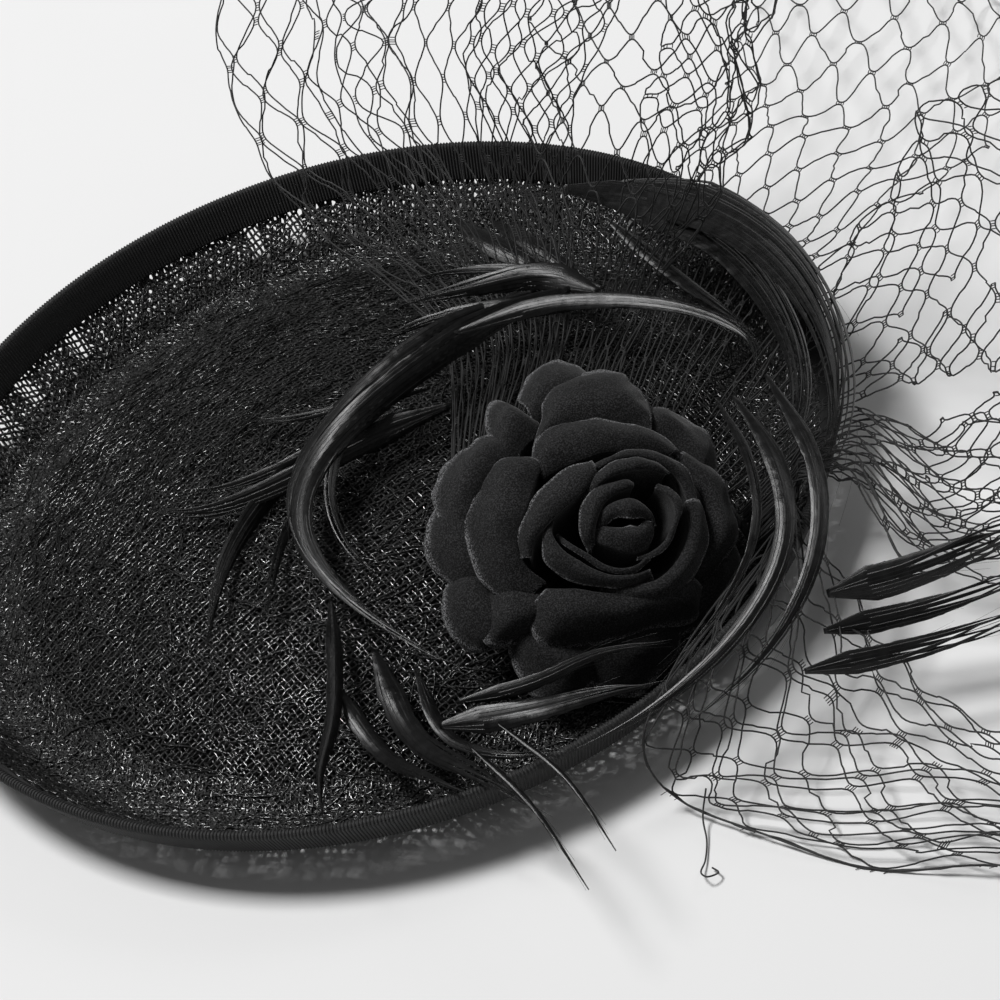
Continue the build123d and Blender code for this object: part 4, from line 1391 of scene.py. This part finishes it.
VEIL = (
    Length("veil_back_left", (125, 97), (
        ((33, 34, 27), (42, 32, 28), (50, 30, 27), (57, 29, 27), (64, 28, 26)),
        ((10, 75, 38), (28, 66, 46), (44, 66, 49), (58, 64, 48), (70, 60, 45)),
        ((-4, 114, 60), (18, 98, 72), (40, 101, 72), (59, 86, 78), (77, 76, 72)),
        ((0, 152, 85), (26, 130, 97), (50, 127, 95), (74, 102, 105), (96, 88, 100)),
    ), ((0.34, -16), (0.15, -14), (0.0, -7), (0.02, -1), (0.3, 0), (0.52, 3), (0.62, 0),
        (0.5, -6), (0.4, -7), (0.48, -12), (0.75, -4), (1.05, 2), (1.2, 0), (1.2, -6), (1.0, -9),
        (0.8, -11), (0.85, -17), (1.15, -18)),
        42, Run.OUTWARDS, Selvedge.NONE, 21),
    Length("veil_back_mid", (94, 70), (
        ((67, 27, 25), (75, 25, 24), (83, 23, 24), (90, 20, 24)),
        ((76, 60, 48), (91, 42, 58), (105, 22, 62), (113, 14, 54)),
        ((88, 70, 75), (103, 42, 92), (119, 14, 100), (129, 6, 88)),
        ((102, 80, 105), (116, 42, 126), (133, 22, 131), (144, 14, 120)),
    ), ((-0.15, 0), (0.3, 3), (0.7, 3), (0.98, 0), (1.02, -5), (0.9, -9), (0.6, -11), (0.36, -14),
        (0.36, -18), (0.6, -21), (1.0, -22)), 12, Run.ACROSS, Selvedge.OUTER, 22),
    Length("veil_far", (66, 45), (
        ((94, 26, 22), (102, 20, 22), (110, 13, 22), (116, 4, 22)),
        ((112, 66, 31), (130, 50, 31), (144, 30, 31), (150, 12, 30)),
        ((138, 112, 20), (162, 95, 20), (184, 74, 18), (202, 50, 14)),
        ((158, 182, 6), (190, 166, 9), (218, 142, 7), (240, 112, 5)),
    ), ((0.0, 0), (0.35, 2), (0.7, 0), (1.0, 1)), 7, Run.ACROSS, Selvedge.OUTER, 23),
    Length("veil_right_fold", (40, 20), (
        ((132, 4, 27), (134, -14, 27), (134, -30, 27), (131, -44, 27)),
        ((152, -8, 54), (158, -22, 50), (156, -38, 44), (149, -54, 37)),
        ((168, -16, 84), (176, -34, 74), (173, -52, 60), (162, -66, 46)),
        ((190, -32, 100), (198, -46, 84), (196, -64, 66), (184, -78, 50)),
    ), ((0.55, -14), (0.25, -11), (0.0, -6), (0.02, 0), (0.3, 3), (0.7, 2), (1.0, 0), (1.03, -5),
        (0.7, -9)), 8, Run.ACROSS, Selvedge.NONE, 24),
    Length("veil_right_ruffle", (14, 4), (
        ((127, -50, 29), (126, -57, 29), (124, -64, 29), (121, -71, 29)),
        ((138, -80, 42), (138, -90, 38), (134, -100, 32), (127, -106, 25)),
        ((154, -96, 58), (158, -106, 48), (155, -116, 38), (147, -122, 25)),
        ((172, -110, 68), (178, -122, 56), (177, -134, 42), (168, -142, 25)),
    ), ((0.0, 0), (0.4, 2), (1.0, 0), (1.05, -5), (0.6, -7), (0.15, -8), (0.15, -13), (0.6, -14),
        (0.95, -16), (0.95, -21), (0.5, -22)), 15, Run.ACROSS, Selvedge.NONE, 25),
    Length("veil_front_right", (1, -8), (
        ((106, -73, 24), (106, -77, 25), (105, -81, 26), (103, -86, 27)),
        ((104, -95, 28), (94, -107, 29), (76, -118, 28), (52, -129, 24)),
        ((112, -128, 17), (99, -137, 13), (78, -143, 9), (54, -142, 4)),
        ((127, -158, 13), (119, -166, 8), (102, -170, 4), (82, -169, 3)),
        ((148, -176, 14), (142, -188, 8), (132, -196, 3), (119, -195, 3)),
    ), ((0.3, 14), (0.05, 12), (-0.05, 8), (0.15, 5), (0.5, 7), (0.85, 9), (0.95, 5), (0.8, 3),
        (0.5, 4), (0.3, 1), (0.5, -1), (0.8, 0), (1.0, 0)), 22, Run.OUTWARDS, Selvedge.LAST_SIDE, 26),
)


@dataclass
class Veil:
    """Millinery net, gathered on a stitched header and lying in open folds."""

    profile: Profile = field(default_factory=Profile)
    rose: RoseFrame = field(default_factory=RoseFrame)
    header_radius: float = 44.0
    header_lift: float = 7.0
    side: float = 14.8          # thread between neighbouring knots
    thread: float = 0.24
    link: float = 0.15
    knot_gap: float = 1.25
    knot_half: float = 1.25     # half a knot's width
    samples: int = 9            # points on a thread between two knots
    floor_clearance: float = 0.4
    rim_clear: tuple[float, float, float] = (126.0, 137.0, 24.0)

    def header(self, heading: float, lift: float) -> Array:
        """A point on the header, above the straw."""
        angle = math.radians(heading)
        x = self.rose.centre[0] + self.header_radius * math.cos(angle)
        y = self.rose.centre[1] + self.header_radius * math.sin(angle)
        base = float(self.profile.height(np.array([math.hypot(x, y)]))[0]) + self.profile.half
        return np.array([x, y, base + lift])

    def control(self, length: Length, count: int = 25) -> Array:
        """The length's rows, header first, each as `count` points."""
        shares = np.linspace(0, 1, len(length.rows[0]))
        first, last = length.headings
        header = np.array([
            self.header(first + (last - first) * share, self.header_lift) for share in shares
        ])
        lines = [header, *(np.array(row, float) for row in length.rows)]
        return np.stack([catmull(line, np.linspace(0, 1, count)) for line in lines])

    def surface(self, length: Length, columns: int = 121, rows: int = 61) -> Array:
        """The pleated length as a grid of points, header first.

        Args:
            length: the length of net.
            columns: points across the pleats.
            rows: points from the header to the free edge.

        Returns:
            The grid.
        """
        sheet = catmull(self.control(length), np.linspace(0, 1, rows))
        normals = grid_normals(sheet.transpose(1, 0, 2)).transpose(1, 0, 2)
        pleats = even(catmull(np.array(length.pleats, float) * (60, 1), np.linspace(0, 1, 400)), columns)
        share, lift = pleats[:, 0] / 60, pleats[:, 1]
        place = share * (sheet.shape[1] - 1)
        low = np.clip(place.astype(int), 0, sheet.shape[1] - 2)
        part = (place - low)[None, :, None]
        outward = np.linspace(0, 1, rows)[:, None, None]
        flat = sheet[:, low] * (1 - part) + sheet[:, low + 1] * part
        raised = flat + normals[:, low] * lift[None, :, None] * (0.12 + 0.88 * outward)
        raised = raised + wander(raised, 42, 2.0, length.seed) * outward
        return self.settle(raised)

    def settle(self, points: Array) -> Array:
        """Keeps points above the floor, the straw and the bound rim."""
        flat = points.reshape(-1, 3).copy()
        radius = np.linalg.norm(flat[:, :2], axis=1)
        near, far, top = self.rim_clear
        least = np.full(len(flat), self.floor_clearance)
        over = radius < near
        least[over] = self.profile.height(radius[over]) + 2.0
        least[(radius >= near) & (radius < far)] = top
        flat[:, 2] = np.maximum(flat[:, 2], least)
        return flat.reshape(points.shape)

    def lattice(self, length: Length, grid: Array) -> tuple[Array, Array, int, int]:
        """Places the rows of knots.

        Args:
            length: the length of net.
            grid: its pleated surface.

        Returns:
            Places of the thread rows and of the half steps along them, each from 0 to 1, and
            how many there are of each.
        """
        widths = np.linalg.norm(np.diff(grid, axis=1), axis=2).sum(1)
        reach = np.linalg.norm(np.diff(grid, axis=0), axis=2).sum(0).mean()
        rows = np.linspace(0, 1, len(widths))
        outwards = length.run is Run.OUTWARDS
        places = [0.0]
        while places[-1] < 1:
            width = float(np.interp(places[-1], rows, widths))
            across = width / length.cells * (1.0 if outwards else 0.5)
            step = math.sqrt(max(self.side**2 - across**2, (0.45 * self.side) ** 2))
            places.append(places[-1] + step / reach)
        outer = np.array(places) / places[-1]
        count = length.cells if outwards else 2 * length.cells
        across_places = np.linspace(0, 1, count + 1)
        if outwards:
            return across_places, outer, count, len(outer) - 1
        return outer, across_places, len(outer) - 1, count

    def net(self, length: Length, tree: ThreadTree, material: Finish) -> Thing:
        """One length of net as threads, links and whiskers.

        Args:
            length: the length of net.
            tree: what makes the paths round.
            material: the thread's finish.

        Returns:
            The piece.
        """
        rng = np.random.default_rng(length.seed)
        grid = self.surface(length)
        row_places, step_places, rows, steps = self.lattice(length, grid)
        outwards = length.run is Run.OUTWARDS
        jitter = rng.normal(0, 0.05, (rows + 2, steps + 1, 2))

        def at(row: Array, step: Array) -> Array:
            """Points of the surface at rows and steps of the lattice."""
            i = np.clip(np.rint(row).astype(int), 0, rows)
            k = np.clip(np.rint(step).astype(int), 0, steps)
            inner = (row > 0.3) & (row < rows - 0.3)
            row = row + jitter[i, k, 0] * inner
            step = np.clip(step + jitter[i, k, 1] * (step > 0) * (step < steps), 0, steps)
            b = np.interp(row, np.arange(rows + 1), row_places)
            a = np.interp(step, np.arange(steps + 1), step_places)
            u, v = (b, a) if outwards else (a, b)
            return sample_grid(grid, v, u)

        spacing = self.spacing(at, rows, steps)
        strands = Strands()
        for j in range(rows):
            strands.add(self.thread_path(at, spacing, j, steps), self.thread)
        for j in range(1, rows):
            for k in range(steps + 1):
                if (k + j) % 2 == 0:
                    self.links(strands, at, spacing, j, k, rng)
        if length.selvedge is Selvedge.OUTER or length.selvedge is Selvedge.LAST_SIDE:
            self.woven_edge(strands, at, rows, steps, rng)
        return strands.make(f"{length.node}_net", tree, material, 5)

    def spacing(self, at: Surface, rows: int, steps: int) -> Spacing:
        """Distances between neighbouring rows, and between half steps, over the lattice."""
        j, k = np.meshgrid(np.arange(rows + 1.0), np.arange(steps + 1.0), indexing="ij")
        points = at(j.ravel(), k.ravel()).reshape(rows + 1, steps + 1, 3)
        down = np.linalg.norm(np.diff(points, axis=0), axis=2)
        along = np.linalg.norm(np.gradient(points, axis=1), axis=2)
        return np.maximum(np.vstack([down, down[-1:]]), 0.8), np.maximum(along, 0.8)

    def thread_path(self, at: Surface, spacing: Spacing, j: int, steps: int) -> Array:
        """The zigzag of thread j between its two rows of knots."""
        down, along = spacing
        rows, places = [], []
        for k in range(steps + 1):
            upper = (k + j) % 2 == 0
            gap = min(self.knot_gap / 2 / down[j, k], 0.3)
            flat = min(self.knot_half / along[min(j, len(along) - 1), k], 0.32)
            rows += [j + gap if upper else j + 1 - gap] * 2
            places += [k - flat, k + flat]
        wanted = np.linspace(0, steps, steps * self.samples + 1)
        row = np.interp(wanted, places, rows)
        smooth = np.convolve(np.pad(row, 1, mode="edge"), (0.25, 0.5, 0.25), mode="valid")
        return at(smooth, wanted)

    def links(
        self, strands: Strands, at: Surface, spacing: Spacing, j: int, k: int, rng: Dice
    ) -> None:
        """The four short links of one knot."""
        down, along = spacing
        gap = min(self.knot_gap / 2 / down[j, k], 0.3)
        flat = min(self.knot_half / along[j, k], 0.32)
        for place in np.linspace(-0.85, 0.85, 4):
            step = np.clip(k + place * flat + rng.normal(0, 0.04) * flat, 0, along.shape[1] - 1)
            row = np.array([j - gap, j, j + gap])
            strands.add(at(row, np.full(3, step)), self.link)

    def woven_edge(self, strands: Strands, at: Surface, rows: int, steps: int, rng: Dice) -> None:
        """The selvedge: two threads laid together, with cut whiskers at the knots."""
        wanted = np.linspace(0, steps, steps * 5 + 1)
        edge = at(np.full(len(wanted), float(rows)), wanted)
        strands.add(edge, self.thread * 1.25)
        strands.add(edge + wander(edge, 9, 0.25, 77), self.thread)
        inner = at(np.full(len(wanted), rows - 0.4), wanted)
        away = unit(edge - inner)
        for k in range(0, len(wanted), 10):
            for side in (-1, 0, 1):
                first = min(max(k + side, 0), len(edge) - 1)
                reach = rng.uniform(0.8, 2.2)
                share = np.linspace(0, reach, 3)[:, None]
                strands.add(edge[first] + away[first] * share, self.link * 0.7)

    def gather(self, tree: ThreadTree, material: Finish) -> Thing:
        """The header: net bunched into a roll of threads, bound with overcast stitches."""
        rng = np.random.default_rng(31)
        first, last = VEIL[0].headings[0], VEIL[-1].headings[1]
        t = np.linspace(0, 1, 90)
        middle = np.array([self.header(first + (last - first) * s, 3.9) for s in t])
        outward = unit(middle[:, :2] - np.array(self.rose.centre))
        side = np.column_stack([outward, np.zeros(len(t))])
        strands = Strands()
        for _ in range(26):
            angle, reach = rng.uniform(0, TURN), rng.uniform(0.2, 1.0)
            wave = angle + 9 * t + rng.normal(0, 0.5)
            path = middle + side * (0.7 * reach * np.cos(wave))[:, None]
            path[:, 2] += 2.1 * reach * np.sin(wave)
            strands.add(path, self.thread * 1.1)
        for k in range(3, len(t) - 3, 3):
            ring = np.linspace(0, TURN, 13)
            ahead = unit(middle[k + 1] - middle[k - 1])
            loop = middle[k] + np.outer(np.cos(ring) * 0.95, side[k])
            loop[:, 2] += 2.4 * np.sin(ring)
            strands.add(loop + np.outer(ring / TURN - 0.5, ahead) * 2.2, 0.16)
        return strands.make("veil_gather_roll", tree, material, 4)

    def loose_end(self, tree: ThreadTree, material: Finish) -> Thing:
        """A drawn end of thread that curls on the floor beside the selvedge."""
        curl = np.array(
            [(60, -143, 7), (57, -148, 3), (56, -154, 1), (54, -160, 1), (52, -164, 2), (53, -167, 3),
             (56, -166, 2), (55, -163, 1)], float,
        )
        strands = Strands()
        strands.add(catmull(curl, np.linspace(0, 1, 40)), self.thread)
        return strands.make("veil_loose_end", tree, material, 5)

    def build(self, tree: ThreadTree) -> None:
        """Makes and dresses every length of net."""
        thread = ThreadFinish().make()
        for length in VEIL:
            dress(self.net(length, tree, thread), thread, "net_thread", length.node)
        dress(self.gather(tree, thread), thread, "net_thread", "veil_gather")
        dress(self.loose_end(tree, thread), thread, "net_thread", "veil_front_right")


def sample_grid(grid: Array, v: Array, u: Array) -> Array:
    """Points of a grid at places v down its rows and u along them, from 0 to 1."""
    rows, columns = grid.shape[:2]
    y, x = np.clip(v, 0, 1) * (rows - 1), np.clip(u, 0, 1) * (columns - 1)
    i, j = np.minimum(y.astype(int), rows - 2), np.minimum(x.astype(int), columns - 2)
    fy, fx = (y - i)[:, None], (x - j)[:, None]
    upper = grid[i, j] * (1 - fx) + grid[i, j + 1] * fx
    lower = grid[i + 1, j] * (1 - fx) + grid[i + 1, j + 1] * fx
    return upper * (1 - fy) + lower * fy


# ------------------------------------------------------------------ clips, lining and rim wire
@dataclass
class Fittings:
    """The CAD pieces that keep their shape: lining, rim wire and the two hair clips."""

    def build(self) -> None:
        """Gives every kept node its finish."""
        enamel = SteelFinish("black_enamel", 0.012, 0.0, 0.3).make()
        spring = SteelFinish("spring_steel", 0.32, 1.0, 0.25).make()
        velvet = FeltFinish("velvet_pad").make()
        sewing = ThreadFinish("sewing_thread", 0.02).make()
        finish_node("crown_lining", LiningFinish().make())
        finish_node("rim_wire", sewing)
        finish_node("clip_pads", velvet)
        finish_node("clip_stitches", sewing)
        for side in ("left", "right"):
            finish_node(f"clip_{side}_leaf", enamel)
            finish_node(f"clip_{side}_lever", enamel)
            finish_node(f"clip_{side}_pin", spring)
            finish_node(f"clip_{side}_spring", spring)


# ------------------------------------------------------------------ stage
@dataclass
class Studio:
    """A pale floor, soft light and the camera."""

    elevation: float = 42.3
    roll: float = -18.5
    distance: float = 1.0
    target: Triple = (0.0343, -0.0108, 0.0)
    lens: float = 130.6
    sensor: float = 36.0
    sky: float = 0.13
    floor_half: float = 6.0
    floor_shade: float = 0.80
    lamps: tuple[tuple[str, Triple, float, float], ...] = (     # name, place, size, watts
        ("key", (-1.15, 0.85, 3.50), 1.07, 137), ("side", (1.1, 0.5, 1.0), 0.5, 2),
    )

    def camera(self) -> None:
        """Puts the camera in front of and above the headpiece."""
        data = bpy.data.cameras.new("camera")
        data.lens, data.sensor_width = self.lens, self.sensor
        camera = bpy.data.objects.new("camera", data)
        bpy.context.scene.collection.objects.link(camera)
        e, r = math.radians(self.elevation), math.radians(self.roll)
        ahead = Vector((0, math.cos(e), -math.sin(e)))
        right = Vector((1, 0, 0))
        up = right.cross(ahead)
        across = right * math.cos(r) + up * math.sin(r)
        above = up * math.cos(r) - right * math.sin(r)
        turn = Matrix((across, above, -ahead)).transposed().to_4x4()
        camera.matrix_world = Matrix.Translation(Vector(self.target) - ahead * self.distance) @ turn
        bpy.context.scene.camera = camera

    def lamp(self, name: str, place: Triple, size: float, power: float) -> None:
        """A square soft lamp that faces the target."""
        data = bpy.data.lights.new(name, "AREA")
        data.size, data.energy = size, power
        lamp = bpy.data.objects.new(name, data)
        bpy.context.scene.collection.objects.link(lamp)
        lamp.location = place
        lamp.rotation_mode = "QUATERNION"
        lamp.rotation_quaternion = (Vector(self.target) - Vector(place)).to_track_quat("-Z", "Y")

    def floor(self) -> None:
        """A wide pale floor."""
        half = self.floor_half
        mesh = bpy.data.meshes.new("floor")
        corners = [(-half, -half, 0), (half, -half, 0), (half, half, 0), (-half, half, 0)]
        mesh.from_pydata(corners, [], [(0, 1, 2, 3)])
        floor = bpy.data.objects.new("floor", mesh)
        bpy.context.scene.collection.objects.link(floor)
        bench = Bench("pale_floor")
        tone = bench.noise(40)
        floor.data.materials.append(
            bench.feed(Base_Color=bench.grey(self.floor_shade + 0.01 * tone, (1, 1, 1)), Roughness=0.9)
        )

    def build(self) -> None:
        """Sets the whole stage."""
        scene = bpy.context.scene
        scene.view_settings.view_transform = "Standard"
        world = bpy.data.worlds.new("studio")
        world.use_nodes = True
        world.node_tree.nodes["Background"].inputs["Color"].default_value = (1, 1, 1, 1)
        world.node_tree.nodes["Background"].inputs["Strength"].default_value = self.sky
        scene.world = world
        self.camera()
        self.floor()
        for name, place, size, power in self.lamps:
            self.lamp(name, place, size, power)


def main() -> None:
    """Builds the headpiece's looks, piece by piece."""
    logging.basicConfig(level=logging.INFO, format="%(message)s")
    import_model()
    threads, turned = ThreadTree(), TurnedTree()
    Studio().build()
    Saucer().build(threads, turned)
    Rose().build()
    Plumage().build(threads)
    Veil().build(threads)
    Fittings().build()


if __name__ == "__main__":
    main()
